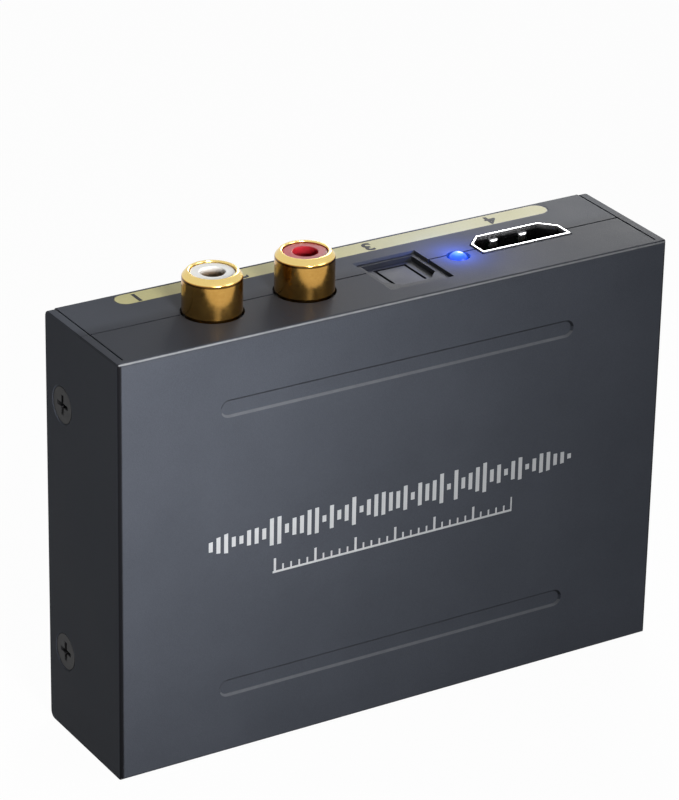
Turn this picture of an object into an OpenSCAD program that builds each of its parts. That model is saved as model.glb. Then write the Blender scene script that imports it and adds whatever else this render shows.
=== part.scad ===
// Digital video audio extractor: a flat folded-sheet case that stands on its input panel.
// X runs along the width, Y from the printed front face to the back plate, Z up to the output panel.
// The origin is the centre of the case at the height of the input panel. Lengths are millimetres.

/* [Case] */
// Width of the case across its front face
case_w = 88; // [86:1:94]
// Depth of the case from the front face to the back plate
case_d = 21; // [21:0.5:24]
// Height of the case from the input panel to the output panel
case_h = 63; // [62:1:70]
// Thickness of the folded sheet
sheet_t = 1.2; // [1:0.1:1.3]
// Outer radius of the folds
fold_r = 0.6; // [0.4:0.1:0.9]
// Radius of the free corners of the end walls
end_corner_r = 1; // [0.6:0.1:1.6]
// Gap along the seams between cover and base
seam_gap = 0.2; // [0.1:0.05:0.3]
// Distance of the inner tabs from the input and output panels
tab_inset = 6; // [4:0.5:8]

/* [Front grooves] */
// Length of each stadium groove in the front face
groove_l = 57; // [40:1:70]
// Width of each groove
groove_w = 2.6; // [2:0.1:3.4]
// Depth of each groove
groove_depth = 0.35; // [0.2:0.05:0.5]
// Distance of each groove's centre line from the nearer panel
groove_inset = 10.1; // [6:0.1:14]

/* [Case screws] */
// Distance of the case screws from the input and output panels
case_screw_inset_z = 12.5; // [11:0.5:16]
// Distance of the case screws from the back face
case_screw_inset_y = 4.6; // [4.2:0.1:5.2]
// Thread diameter of the case screws
case_screw_d = 2.9; // [2.5:0.1:3]
// Head diameter of the case screws
case_screw_head_d = 5.3; // [4.8:0.1:5.6]
// Length of the case screws with their countersunk heads
case_screw_l = 4.1; // [3.4:0.1:4.3]

/* [Label strips] */
// Length of each label strip
label_l = 70.4; // [60:0.2:76]
// Width of each label strip
label_w = 3.5; // [2.5:0.1:4]
// Thickness of each label strip
label_t = 0.15; // [0.1:0.05:0.3]
// Distance of each strip's centre line from the back face
label_inset = 2.4; // [2.2:0.1:3]
// Offset of the strips from the middle of the panel
label_x = 0.6; // [-1:0.1:1]

/* [Circuit board] */
// Thickness of the circuit board
board_t = 1.6; // [1:0.1:1.8]
// Share of the room over the tallest socket that the standoffs take behind the board
standoff_room_share = 0.6613; // [0.58:0.01:0.7]
// Gap between the board's ends and the end walls
board_gap_x = 3.4; // [3.1:0.1:4]
// Gap between the board's long edges and the panels
board_gap_z = 0.7; // [0.4:0.1:1]
// Distance of the board's holes from its ends
board_hole_inset_x = 3.8; // [3.4:0.1:4.2]
// Distance of the board's holes from its long edges
board_hole_inset_z = 13.6; // [13.2:0.1:15]
// Thread diameter of the board screws
board_screw_d = 2.5; // [2:0.1:2.6]
// Distance of the board screws' tips from the back plate
board_screw_tip_gap = 0.7; // [0.5:0.1:1.6]

/* [Audio jacks] */
// Place of the left channel jack from the panel's middle, as a share of the case's width
phono_left_place_share = -0.2784; // [-0.295:0.005:-0.265]
// Place of the right channel jack from the panel's middle, as a share of the case's width
phono_right_place_share = -0.11364; // [-0.13:0.005:-0.11]
// Outer diameter of the plated barrel
phono_d = 8.4; // [8.2:0.05:8.6]
// Height of the barrel's root over the panel, where it steps down to fit its body
phono_step_z = 0.12; // [0.05:0.01:0.3]
// Height of the barrel over the output panel
phono_reach = 6; // [5:0.5:9]
// Height of the jack's axis over the board
phono_axis_h = 4.5; // [4.4:0.1:5]
// Diameter of the coloured insert in the barrel
phono_insert_d = 6.2; // [5.8:0.1:6.6]
// Diameter of the hole for the plug's pin
phono_hole_d = 3.5; // [3.4:0.05:3.7]
// Width of the moulded body behind the panel
phono_body_w = 10; // [9.6:0.1:11]
// Height of the moulded body over the board
phono_body_h = 9.3; // [9.1:0.1:10]
// Length of the moulded body behind the panel
phono_body_l = 10; // [8:0.5:10.5]

/* [Optical socket] */
// Place of the optical socket from the panel's middle, as a share of the case's width
optical_place_share = 0.06364; // [0.06:0.001:0.07]
// Width of the socket housing
optical_w = 9.7; // [9.6:0.1:10.2]
// Height of the socket housing over the board
optical_h = 10; // [9.9:0.1:10.6]
// Length of the socket housing
optical_l = 13.5; // [13.2:0.1:14]
// Width of the mouth that takes the plug
optical_mouth_w = 8.3; // [8:0.1:8.5]
// Height of the mouth that takes the plug
optical_mouth_h = 8; // [7.8:0.1:8.1]
// Cut of the mouth's two corners on the hinge side
optical_mouth_cut = 1.9; // [1:0.1:2.4]
// Depth of the face under the outer surface of the panel
optical_sink = 0.4; // [0.2:0.1:0.6]
// Thickness of the shutter
shutter_t = 0.7; // [0.6:0.05:0.75]
// Width of the panel that a groove marks out on the shutter
shutter_panel_w = 4.4; // [3:0.1:6]
// Diameter of the bore that guides the plug's ferrule
ferrule_bore_d = 3.3; // [3.2:0.1:3.6]

/* [Indicator lamp] */
// Place of the lamp between the optical and the video socket, as a share of the gap between them
lamp_place_share = 0.5583; // [0.45:0.01:0.6]
// Diameter of the lamp's lens
lamp_d = 3; // [2.8:0.1:3.2]
// Height of the lens dome over the output panel
lamp_reach = 0.6; // [0.3:0.1:1.2]
// Height of the lamp's axis over the board
lamp_axis_h = 4.5; // [4:0.1:5]

/* [Video sockets] */
// Place of the output socket from the panel's middle, as a share of the case's width
video_out_place_share = 0.29545; // [0.29:0.001:0.3]
// Place of the input socket from the panel's middle, as a share of the case's width
video_in_place_share = -0.25; // [-0.27:0.005:-0.23]
// Width of the socket shell
video_w = 14.8; // [14.6:0.1:15]
// Height of the socket shell over the board
video_h = 5.4; // [5.2:0.1:5.6]
// Cut of the shell's two corners on the board side
video_cut = 2.2; // [1.8:0.1:2.4]
// Length of the socket shell
video_l = 11.6; // [11:0.1:12]
// Thickness of the shell's sheet
video_wall = 0.3; // [0.25:0.05:0.35]
// Spacing of the contacts in one row
contact_pitch = 1; // [0.95:0.05:1]
// Width of each contact
contact_w = 0.34; // [0.3:0.02:0.36]

/* [Power inlet] */
// Distance of the power inlet's axis from the end of the case
inlet_inset = 18; // [17:0.5:19]
// Width of the inlet housing
inlet_w = 9; // [8.8:0.1:9.4]
// Height of the inlet housing over the board
inlet_h = 10.8; // [10.6:0.1:11.2]
// Length of the inlet housing behind the panel
inlet_l = 13.6; // [13:0.1:14]
// Height of the inlet's axis over the board
inlet_axis_h = 6.4; // [6.2:0.1:6.6]
// Diameter of the bore that takes the plug
inlet_bore_d = 6; // [5.8:0.1:6.2]
// Diameter of the centre pin
inlet_pin_d = 2.1; // [2:0.1:2.5]

/* [Mode switch] */
// Place of the mode switch from the panel's middle, as a share of the case's width
switch_place_share = 0.06818; // [0.02:0.005:0.11]
// Width of the switch frame
switch_w = 10; // [9.8:0.1:11]
// Height of the switch frame over the board
switch_h = 4; // [3.8:0.1:4.4]
// Travel of the knob to each side of its middle position
switch_travel = 2.2; // [1.8:0.1:2.4]
// Width of the knob
knob_w = 1.8; // [1.6:0.1:2]
// Depth of the knob's tip inside the input panel's outer surface
knob_sink = 0.3; // [0.2:0.1:0.6]

/* [Board parts] */
// Side of the square main chip
main_chip_w = 10; // [8:0.5:10.5]
// Diameter of the capacitor cans
can_d = 6.3; // [5:0.1:6.5]
// Height of the capacitor cans over their bases
can_h = 5; // [4:0.1:5.6]
// Side of the square power inductor
inductor_w = 6; // [5:0.1:6.4]
// Length of a chip resistor or chip capacitor
chip_part_l = 1.6; // [1.2:0.1:1.8]

/* [Hidden] */
$fn = 48;

// Colours as the photograph shows them
case_color = [0.24, 0.26, 0.29];
screw_color = [0.1, 0.1, 0.11];
label_color = [0.84, 0.82, 0.7];
gold_color = [0.72, 0.55, 0.27];
tin_color = [0.75, 0.75, 0.77];
black_color = [0.09, 0.09, 0.1];
board_color = [0.08, 0.3, 0.16];
white_color = [0.93, 0.93, 0.92];
red_color = [0.62, 0.16, 0.15];
lamp_color = [0.3, 0.6, 1];

// Shared small clearances
overrun = 0.5;           // how far a cut runs past the face that it opens
port_clear = 0.2;        // gap between a socket and its panel opening
port_gap = 0.2;          // gap between a socket body and the inside of its panel
thread_clear = 0.05;     // gap between a screw and its tapped hole
seat_clear = 0.05;       // gap round a piece that is pressed into another
leg_clear = 0.12;        // gap round a leg in its board hole
leg_tail = 0.5;          // how far a leg stands out behind the board

// Case
half_w = case_w / 2;
half_d = case_d / 2;
inner_half_w = half_w - sheet_t;
base_half_w = inner_half_w - seam_gap;
plate_y = half_d - sheet_t;
socket_room = case_d - 2 * sheet_t - board_t - inlet_h;
standoff_h = socket_room * standoff_room_share;
board_y = plate_y - standoff_h - board_t;
board_back_y = board_y + board_t;
tab_front = 3.4;         // how far the inner tabs reach in front of the case screws' axes
groove_slope = 0.3;      // width of the groove's sloping wall

// Case screws
case_screw_y = half_d - case_screw_inset_y;
case_screw_sink = 0.1;
countersink_clear = 0.1;
case_screw_r = case_screw_d / 2;
case_screw_head_r = case_screw_head_d / 2;
case_screw_head_t = case_screw_head_r - case_screw_r;
countersink_r = case_screw_head_r + case_screw_sink + countersink_clear;
case_screw_hole_r = case_screw_r + countersink_clear + case_screw_sink;
cross_arm_share = 0.56;  // half length of the cross recess over the head radius
cross_foot_share = 0.4;  // the recess's length at its foot over that at its mouth
cross_slot_w = 0.6;
cross_depth = 1;

// Board and its fastening
board_half_w = inner_half_w - board_gap_x;
board_low_z = sheet_t + board_gap_z;
board_high_z = case_h - sheet_t - board_gap_z;
board_mid_z = case_h / 2;
board_hole_x = board_half_w - board_hole_inset_x;
board_hole_clear = 0.35; // gap between the board's hole and its screw
board_hole_r = board_screw_d / 2 + board_hole_clear;
standoff_d = 5;
board_screw_l = board_t + standoff_h - board_screw_tip_gap;
board_screw_head_r = 2.5;
board_screw_head_t = 1.7;
board_screw_crown = 0.5; // height of the bevelled crown of the pan head

// Audio jacks
phono_left_x = case_w * phono_left_place_share;
phono_right_x = case_w * phono_right_place_share;
phono_r = phono_d / 2;
phono_step = 0.5;        // step between the barrel and its root
phono_root_r = phono_r - phono_step;
phono_insert_r = phono_insert_d / 2;
phono_barrel_bore_r = phono_insert_r + seat_clear;
phono_hole_r = phono_hole_d / 2;
phono_bevel_h = 0.75;
phono_bevel_w = 0.65;
phono_insert_sink = 0.25;
phono_hole_l = 3.2;
phono_tube_wall = 0.5;
phono_tube_r = phono_hole_r + phono_tube_wall - 2 * seat_clear;
phono_tube_bore_r = phono_tube_r - phono_tube_wall;
phono_chamber_r = phono_tube_r + seat_clear;
phono_tube_gap = 0.3;    // gap between the contact tube and the insert's lip
phono_base_t = 1.5;
phono_slit_w = 0.45;
phono_slit_l = 5;
phono_floor_t = 2.4;
phono_front_z = -sheet_t - port_gap;
phono_floor_z = phono_front_z - phono_body_l + phono_floor_t;
phono_rear_z = phono_front_z - phono_body_l;
strip_t = 0.4;           // thickness of the jacks' and the inlet's terminal strips
phono_strip_w = 1;
phono_strip_drop = 1.2;
ground_strip_w = 1.2;
ground_strip_x = 2.4;
ground_strip_y = 2.3;

// Optical socket
optical_x = case_w * optical_place_share;
optical_half_w = optical_w / 2;
optical_mouth_half = optical_mouth_w / 2;
optical_sill = 0.6;      // height of the mouth's lower edge over the board
optical_roof_wall = 0.45;
optical_lip_t = 0.55;
optical_lip_z = -optical_sink - optical_lip_t;
shutter_stop_gap = 0.1;
shutter_roof_gap = 0.2;
shutter_side_gap = 0.15;
shutter_edge_gap = 0.2;
shutter_half_w = optical_mouth_half - shutter_side_gap;
shutter_z = optical_lip_z - shutter_stop_gap - shutter_t / 2;
optical_roof_y = -optical_h + optical_roof_wall;
hinge_y = optical_roof_y + shutter_roof_gap + shutter_t / 2;
shutter_l = -optical_sill - shutter_edge_gap - hinge_y;
hinge_pin_r = 0.3;
hinge_pin_l = 0.5;
hinge_pin_clear = 0.06;
optical_floor_z = shutter_z - shutter_l - shutter_edge_gap;
optical_rear_z = -optical_sink - optical_l;
shutter_groove_w = 0.45;
shutter_groove_depth = 0.3;
shutter_groove_root = 1.9; // distance of the groove's ends from the hinge
shutter_groove_rim = 0.5;  // land between the groove and the shutter's free edge
spring_notch_w = 1.1;
spring_notch_l = 0.72;
emitter_w = 5;
emitter_t = 1.8;
emitter_recess = 0.2;
emitter_z = optical_rear_z + emitter_recess;
emitter_lens_r = 0.8;
emitter_axis_y = -optical_sill - optical_mouth_h / 2;
emitter_lead_w = 0.5;
emitter_lead_t = 0.3;
emitter_lead_pitch = 1.6;

// Torsion spring of the shutter
wire_r = 0.07;
coil_gap = 0.02;         // gap between the spring's wire and what it lies on
coil_r = shutter_t / 2 + wire_r + coil_gap;
coil_turns = 3.5;
coil_step = 0.2;         // advance of the coil along the pin in one turn
coil_rings = 12;         // rings of wire in one turn
wire_sides = 6;
fixed_leg_l = 2.4;
free_leg_l = 2.2;
free_leg_drop_share = 0.78;

// Indicator lamp
lamp_r = lamp_d / 2;
lamp_flange_rim = 0.35;
lamp_flange_r = lamp_r + lamp_flange_rim;
lamp_flange_t = 0.6;
lamp_body_l = 3.6;
lamp_dome_z = lamp_reach - lamp_r;
lamp_flange_z = lamp_dome_z - lamp_body_l;
lamp_lead_w = 0.5;
lamp_lead_x = 1.27;
lamp_lead_drop = 1.5;

// Video sockets
video_out_x = case_w * video_out_place_share;
video_in_x = case_w * video_in_place_share;
video_half_w = video_w / 2;
video_out_proud = 0.2;
video_in_proud = -0.2;
video_octagon = sqrt(2) - 1;
video_leg_w = 1;
video_leg_low_share = 0.36;
video_leg_high_share = 0.86;
video_block_l = 3.4;
tongue_half_w = 5.9;
tongue_low = 2.2;        // height of the tongue's lower face over the board
tongue_t = 1.3;
tongue_sink = 1.6;       // depth of the tongue's edge behind the mouth
contact_t = 0.15;
contact_sink = 0.6;      // depth of the contacts' tips behind the tongue's edge
contact_foot_l = 0.9;
top_contacts = 10;
low_contacts = 9;
latch_w = 1.6;
latch_l = 4.6;
latch_slot = 0.3;
latch_x = 2.45;
latch_depth = 1.6;

// Lamp between its neighbours
lamp_gap_low_x = optical_x + optical_half_w;
lamp_gap_high_x = video_out_x - video_half_w;
lamp_x = lamp_gap_low_x + (lamp_gap_high_x - lamp_gap_low_x) * lamp_place_share;

// Power inlet
inlet_x = half_w - inlet_inset;
inlet_front_z = -sheet_t - port_gap;
inlet_rear_z = inlet_front_z - inlet_l;
inlet_bore_r = inlet_bore_d / 2;
inlet_collar_wall = 0.9;
inlet_collar_r = inlet_bore_r + inlet_collar_wall;
inlet_collar_sink = 0.3;
inlet_bore_l = 10.5;
inlet_pin_r = inlet_pin_d / 2;
inlet_pin_sink = 0.9;
inlet_terminal_w = 2.4;
inlet_leaf_w = 2.2;
inlet_leaf_t = 0.3;
inlet_leaf_l = 4.8;
inlet_leaf_lift = 0.5;
inlet_leaf_sink = 0.4;
inlet_slot_l = 6.4;

// Mode switch
switch_x = case_w * switch_place_share;
switch_axis_h = switch_h / 2;
switch_front_z = -sheet_t - port_gap;
switch_sheet_t = 0.3;
switch_l = 4.6;
switch_base_t = 1.4;
slider_w = 4.4;
slider_h = 2.7;
slider_t = 1.4;
slider_gap = 0.2;
slider_front_z = switch_front_z - switch_sheet_t - slider_gap;
knob_h = 1.4;
slot_clear = 0.35;
wiper_t = 0.3;
wiper_h = 1.8;
wiper_tip_gap = 0.3;
wiper_tip_r = 0.35;
terminal_count = 4;
terminal_w = 0.6;
terminal_t = 0.3;
terminal_pad_t = 0.3;

// Board parts. Places are shares of the board's half width and half height.
main_chip_t = 0.9;
main_chip_place_share = [0.15, 0];
audio_chip_size = [8.7, 1.5, 3.9];
audio_chip_place_share = [-0.43, 0.25];
audio_legs_per_side = 7;
memory_chip_size = [4.9, 1.5, 3.9];
memory_chip_place_share = [-0.17, 0.37];
memory_legs_per_side = 4;
leg_pitch = 1.27;
leg_w = 0.42;
leg_t = 0.2;
leg_reach = 1;
regulator_size = [6.5, 1.6, 3.5];
regulator_place_shares = [[0.61, -0.21], [0.61, 0.14]];
regulator_tab_w = 3;
regulator_tab_l = 1.7;
regulator_leg_w = 0.7;
regulator_leg_pitch = 2.3;
crystal_l = 10.4;
crystal_w = 4.4;
crystal_h = 3.2;
crystal_rim = 0.4;
crystal_rim_t = 0.5;
crystal_place_share = [-0.23, -0.37];
inductor_place_share = [0.4, -0.4];
inductor_t = 2.8;
inductor_lid_inset = 0.4;
inductor_lid_r = inductor_w / 2 - inductor_lid_inset;
can_r = can_d / 2;
can_base_rim = 0.15;
can_base_w = can_d + 2 * can_base_rim;
can_base_t = 0.8;
can_base_cut = 1.2;
can_bead_r = 0.25;
can_place_shares = [[-0.67, 0.43], [-0.44, 0.47], [0.84, -0.21], [0.84, 0.1], [-0.75, -0.1]];
chip_foot = 0.1;         // height of a leaded chip body over the board
chip_dot_share = 0.38;   // place of the pin mark over the chip's size
chip_dot_depth = 0.12;
chip_dot_r = 0.35;
chip_part_w_share = 0.5;
chip_cap_t = 0.8;
chip_resistor_t = 0.45;
chip_end_share = 0.22;
chip_end_skin = 0.03;
chip_row_count = 6;
chip_row_pitch = 2.6;
chip_row_gap = 2.6;
resistor_row_count = 7;
resistor_row_pitch = 1.9;
resistor_row_gap = 1;    // gap between a row's end and the head of the board screw beside it
resistor_row_half = (resistor_row_count - 1) / 2 * resistor_row_pitch + chip_part_l * chip_part_w_share / 2;
resistor_row_x = board_hole_x - board_screw_head_r - resistor_row_gap - resistor_row_half;
resistor_row_rise_share = 0.52;

// Helpers

// A rectangle between two corners; the two corners at low x and the two at high x have own radii
module round_rect(low, high, r_low, r_high) {
    span = high - low;
    translate([low[0] + r_low, low[1]]) square([span[0] - r_low - r_high, span[1]]);
    if (r_low > 0) {
        translate([low[0], low[1] + r_low]) square([span[0] - r_high, span[1] - 2 * r_low]);
        for (y = [low[1] + r_low, high[1] - r_low]) translate([low[0] + r_low, y]) circle(r = r_low);
    }
    if (r_high > 0) {
        translate([low[0] + r_low, low[1] + r_high]) square([span[0] - r_low, span[1] - 2 * r_high]);
        for (y = [low[1] + r_high, high[1] - r_high]) translate([high[0] - r_high, y]) circle(r = r_high);
    }
}

// Flat shape drawn in the Y-Z plane and run along X
module run_along_x(from, length) {
    translate([from, 0, 0]) rotate([90, 0, 90]) linear_extrude(length) children();
}

// Stadium centred on the origin, with its length along X
module stadium(length, width) {
    square([length - width, width], center = true);
    for (side = [-1, 1]) translate([side * (length - width) / 2, 0]) circle(d = width);
}

// Box given by its lowest and highest corner
module box_between(low, high) {
    translate(low) cube(high - low);
}

// Frame of a socket: y = 0 is the board's face, z = 0 the panel's outer face, +Z outwards
module at_output(x) {
    translate([x, board_y, case_h]) children();
}

module at_input(x) {
    translate([x, board_y, 0]) mirror([0, 0, 1]) children();
}

// Place on the front of the board, with +Z away from it
module on_board(share) {
    translate([share[0] * board_half_w, board_y, board_mid_z + share[1] * board_mid_z])
        rotate([90, 0, 0]) children();
}

// Cross recess of a screw, cut downwards from z = 0
module cross_recess(arm) {
    for (turn = [0, 90]) rotate([0, 0, turn])
        rotate([90, 0, 0]) translate([0, 0, -cross_slot_w / 2]) linear_extrude(cross_slot_w)
            polygon([
                [-arm, overrun], [arm, overrun], [arm, 0],
                [arm * cross_foot_share, -cross_depth], [-arm * cross_foot_share, -cross_depth],
                [-arm, 0]
            ]);
}

// Case

module case_screw_places() {
    for (side = [-1, 1], z = [case_screw_inset_z, case_h - case_screw_inset_z])
        translate([side * half_w, case_screw_y, z]) rotate([0, side * 90, 0]) children();
}

module board_hole_places() {
    for (x = [-board_hole_x, board_hole_x])
        for (z = [board_low_z + board_hole_inset_z, board_high_z - board_hole_inset_z])
            translate([x, 0, z]) rotate([90, 0, 0]) children();
}

// Outline of the video socket in X and height over the board, grown all round
module video_outline(grow) {
    wide = video_half_w + grow;
    narrow = video_half_w - video_cut + grow * video_octagon;
    knee = video_cut - grow * video_octagon;
    mirror([0, 1]) polygon([
        [-wide, video_h + grow], [wide, video_h + grow], [wide, knee],
        [narrow, -grow], [-narrow, -grow], [-wide, knee]
    ]);
}

module output_openings() {
    cut = sheet_t + 2 * overrun;
    for (x = [phono_left_x, phono_right_x]) at_output(x)
        translate([0, -phono_axis_h, overrun - cut]) cylinder(r = phono_r + port_clear, h = cut);
    at_output(optical_x) box_between(
        [-optical_half_w - port_clear, -optical_h - port_clear, overrun - cut],
        [optical_half_w + port_clear, port_clear, overrun]);
    at_output(lamp_x) translate([0, -lamp_axis_h, overrun - cut])
        cylinder(r = lamp_r + port_clear, h = cut);
    at_output(video_out_x) translate([0, 0, overrun - cut]) linear_extrude(cut)
        video_outline(port_clear);
}

module input_openings() {
    cut = sheet_t + 2 * overrun;
    at_input(video_in_x) translate([0, 0, overrun - cut]) linear_extrude(cut)
        video_outline(port_clear);
    at_input(inlet_x) translate([0, -inlet_axis_h, overrun - cut])
        cylinder(r = inlet_collar_r + port_clear, h = cut);
    at_input(switch_x) translate([0, -switch_axis_h, overrun - cut]) linear_extrude(cut)
        square([knob_w + 2 * (switch_travel + slot_clear), knob_h + 2 * slot_clear], center = true);
}

module label_shape(grow) {
    translate([label_x, half_d - label_inset]) stadium(label_l + 2 * grow, label_w + 2 * grow);
}

module label_pockets() {
    translate([0, 0, case_h - label_t]) linear_extrude(label_t + overrun) label_shape(seat_clear);
    translate([0, 0, -overrun]) linear_extrude(label_t + overrun) label_shape(seat_clear);
}

// Stadium groove with sloping walls, cut from the front face inwards
module front_groove(z) {
    run = groove_l - groove_w;
    top_r = groove_w / 2;
    foot_r = top_r - groove_slope;
    translate([0, -half_d, z]) rotate([-90, 0, 0]) {
        for (side = [-1, 1]) translate([side * run / 2, 0, 0]) {
            cylinder(r1 = top_r, r2 = foot_r, h = groove_depth);
            translate([0, 0, -overrun]) cylinder(r = top_r, h = overrun);
        }
        translate([-run / 2, 0, 0]) rotate([90, 0, 90]) linear_extrude(run) polygon([
            [-top_r, -overrun], [top_r, -overrun], [top_r, 0],
            [foot_r, groove_depth], [-foot_r, groove_depth], [-top_r, 0]
        ]);
    }
}

module cover_shell() {
    color(case_color) difference() {
        intersection() {
            union() {
                // front plate and both end walls
                linear_extrude(case_h) difference() {
                    mirror([1, -1]) round_rect([-half_d, -half_w], [half_d, half_w], fold_r, 0);
                    translate([-inner_half_w, -plate_y]) square([2 * inner_half_w, case_d]);
                }
                // long flanges, up to the seam
                for (z = [0, case_h - sheet_t]) box_between(
                    [-base_half_w, -half_d + fold_r, z], [base_half_w, -seam_gap / 2, z + sheet_t]);
            }
            run_along_x(-half_w, case_w)
                round_rect([-half_d, 0], [half_d, case_h], fold_r, end_corner_r);
        }
        case_screw_places() {
            translate([0, 0, case_screw_hole_r - countersink_r])
                cylinder(r1 = case_screw_hole_r, r2 = countersink_r, h = countersink_r - case_screw_hole_r);
            cylinder(r = countersink_r, h = overrun);
            translate([0, 0, -sheet_t - overrun]) cylinder(r = case_screw_hole_r, h = sheet_t + overrun);
        }
        for (z = [groove_inset, case_h - groove_inset]) front_groove(z);
        output_openings();
        input_openings();
    }
}

module base_shell() {
    color(case_color) difference() {
        union() {
            // back plate with both long flanges
            run_along_x(-base_half_w, 2 * base_half_w) difference() {
                round_rect([seam_gap / 2, 0], [half_d, case_h], 0, fold_r);
                translate([0, sheet_t]) square([plate_y, case_h - 2 * sheet_t]);
            }
            // inner tabs that take the case screws
            for (side = [-1, 1]) translate([side * (base_half_w - sheet_t / 2), 0, 0])
                box_between([-sheet_t / 2, case_screw_y - tab_front, tab_inset],
                    [sheet_t / 2, plate_y + sheet_t / 2, case_h - tab_inset]);
        }
        case_screw_places() translate([0, 0, -case_screw_l - overrun])
            cylinder(r = case_screw_r + thread_clear, h = case_screw_l);
        output_openings();
        input_openings();
        label_pockets();
    }
}

module case_screws() {
    color(screw_color) case_screw_places() difference() {
        union() {
            translate([0, 0, -case_screw_sink - case_screw_head_t])
                cylinder(r1 = case_screw_r, r2 = case_screw_head_r, h = case_screw_head_t);
            translate([0, 0, -case_screw_l]) cylinder(r = case_screw_r, h = case_screw_l - case_screw_head_t);
        }
        translate([0, 0, -case_screw_sink]) cross_recess(case_screw_head_r * cross_arm_share);
    }
}

module output_label_strip() {
    color(label_color) translate([0, 0, case_h - label_t]) linear_extrude(label_t) label_shape(0);
}

module input_label_strip() {
    color(label_color) linear_extrude(label_t) label_shape(0);
}

// Circuit board and its fastening

// Hole through the board for a leg, given by its middle and size in the frame of a socket
module leg_hole(x, z, w, t) {
    box_between([x - w / 2 - leg_clear, -overrun, z - t / 2 - leg_clear],
        [x + w / 2 + leg_clear, board_t + overrun, z + t / 2 + leg_clear]);
}

module board_leg_holes() {
    for (x = [phono_left_x, phono_right_x]) at_output(x) {
        leg_hole(0, phono_floor_z - phono_strip_drop + strip_t / 2, phono_strip_w, strip_t);
        leg_hole(ground_strip_x, phono_floor_z - strip_t / 2, ground_strip_w, strip_t);
    }
    at_output(optical_x) for (i = [-1:1])
        leg_hole(i * emitter_lead_pitch, emitter_z + emitter_lead_t / 2, emitter_lead_w, emitter_lead_t);
    at_output(lamp_x) for (side = [-1, 1])
        leg_hole(side * lamp_lead_x, lamp_flange_z - lamp_flange_t - lamp_lead_drop + lamp_lead_w / 2,
            lamp_lead_w, lamp_lead_w);
    at_output(video_out_x) video_leg_holes(video_out_proud);
    at_input(video_in_x) video_leg_holes(video_in_proud);
    at_input(inlet_x) {
        leg_hole(0, inlet_rear_z - strip_t / 2, inlet_terminal_w, strip_t);
        leg_hole(0, inlet_leaf_z(), inlet_leaf_w, inlet_leaf_t);
    }
    at_input(switch_x) for (i = [0:terminal_count - 1])
        leg_hole(terminal_x(i), switch_rear_z() - 1.5 * terminal_t, terminal_w, terminal_t);
}

module main_board() {
    color(board_color) difference() {
        box_between([-board_half_w, board_y, board_low_z], [board_half_w, board_back_y, board_high_z]);
        board_hole_places() translate([0, 0, -board_back_y - overrun])
            cylinder(r = board_hole_r, h = board_t + 2 * overrun);
        board_leg_holes();
    }
}

module board_standoffs() {
    color(tin_color) board_hole_places() translate([0, 0, -plate_y]) difference() {
        cylinder(d = standoff_d, h = standoff_h);
        translate([0, 0, -overrun])
            cylinder(r = board_screw_d / 2 + thread_clear, h = standoff_h + 2 * overrun);
    }
}

module board_screws() {
    crown_r = board_screw_head_r - board_screw_crown;
    color(tin_color) board_hole_places() translate([0, 0, -board_y]) difference() {
        union() {
            cylinder(r = board_screw_head_r, h = board_screw_head_t - board_screw_crown);
            translate([0, 0, board_screw_head_t - board_screw_crown])
                cylinder(r1 = board_screw_head_r, r2 = crown_r, h = board_screw_crown);
            translate([0, 0, -board_screw_l]) cylinder(d = board_screw_d, h = board_screw_l + overrun);
        }
        translate([0, 0, board_screw_head_t]) cross_recess(board_screw_head_r * cross_arm_share);
    }
}

// Audio jacks, in the frame of a socket

module phono_barrel(x) {
    top = phono_reach;
    color(gold_color) at_output(x) translate([0, -phono_axis_h, 0]) rotate_extrude() polygon([
        [phono_barrel_bore_r, phono_floor_z], [phono_root_r, phono_floor_z],
        [phono_root_r, phono_step_z], [phono_r, phono_step_z],
        [phono_r, top - phono_bevel_h], [phono_r - phono_bevel_w, top], [phono_barrel_bore_r, top]
    ]);
}

module phono_insert(x) {
    top = phono_reach - phono_insert_sink;
    color(x == phono_left_x ? white_color : red_color)
        at_output(x) translate([0, -phono_axis_h, 0]) rotate_extrude() polygon([
            [phono_chamber_r, phono_floor_z], [phono_insert_r, phono_floor_z], [phono_insert_r, top],
            [phono_hole_r, top], [phono_hole_r, top - phono_hole_l], [phono_chamber_r, top - phono_hole_l]
        ]);
}

module phono_contact(x) {
    tube_top = phono_reach - phono_insert_sink - phono_hole_l - phono_tube_gap;
    strip_z = phono_floor_z - phono_strip_drop;
    color(gold_color) at_output(x) translate([0, -phono_axis_h, 0]) {
        difference() {
            translate([0, 0, phono_floor_z]) cylinder(r = phono_tube_r, h = tube_top - phono_floor_z);
            translate([0, 0, phono_floor_z + phono_base_t])
                cylinder(r = phono_tube_bore_r, h = tube_top - phono_floor_z);
            for (turn = [0, 90]) rotate([0, 0, turn]) box_between(
                [-phono_slit_w / 2, -phono_r, tube_top - phono_slit_l],
                [phono_slit_w / 2, phono_r, tube_top + overrun]);
        }
        box_between([-phono_strip_w / 2, -strip_t / 2, strip_z],
            [phono_strip_w / 2, strip_t / 2, phono_floor_z]);
        box_between([-phono_strip_w / 2, -strip_t / 2, strip_z],
            [phono_strip_w / 2, phono_axis_h + board_t + leg_tail, strip_z + strip_t]);
    }
}

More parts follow.
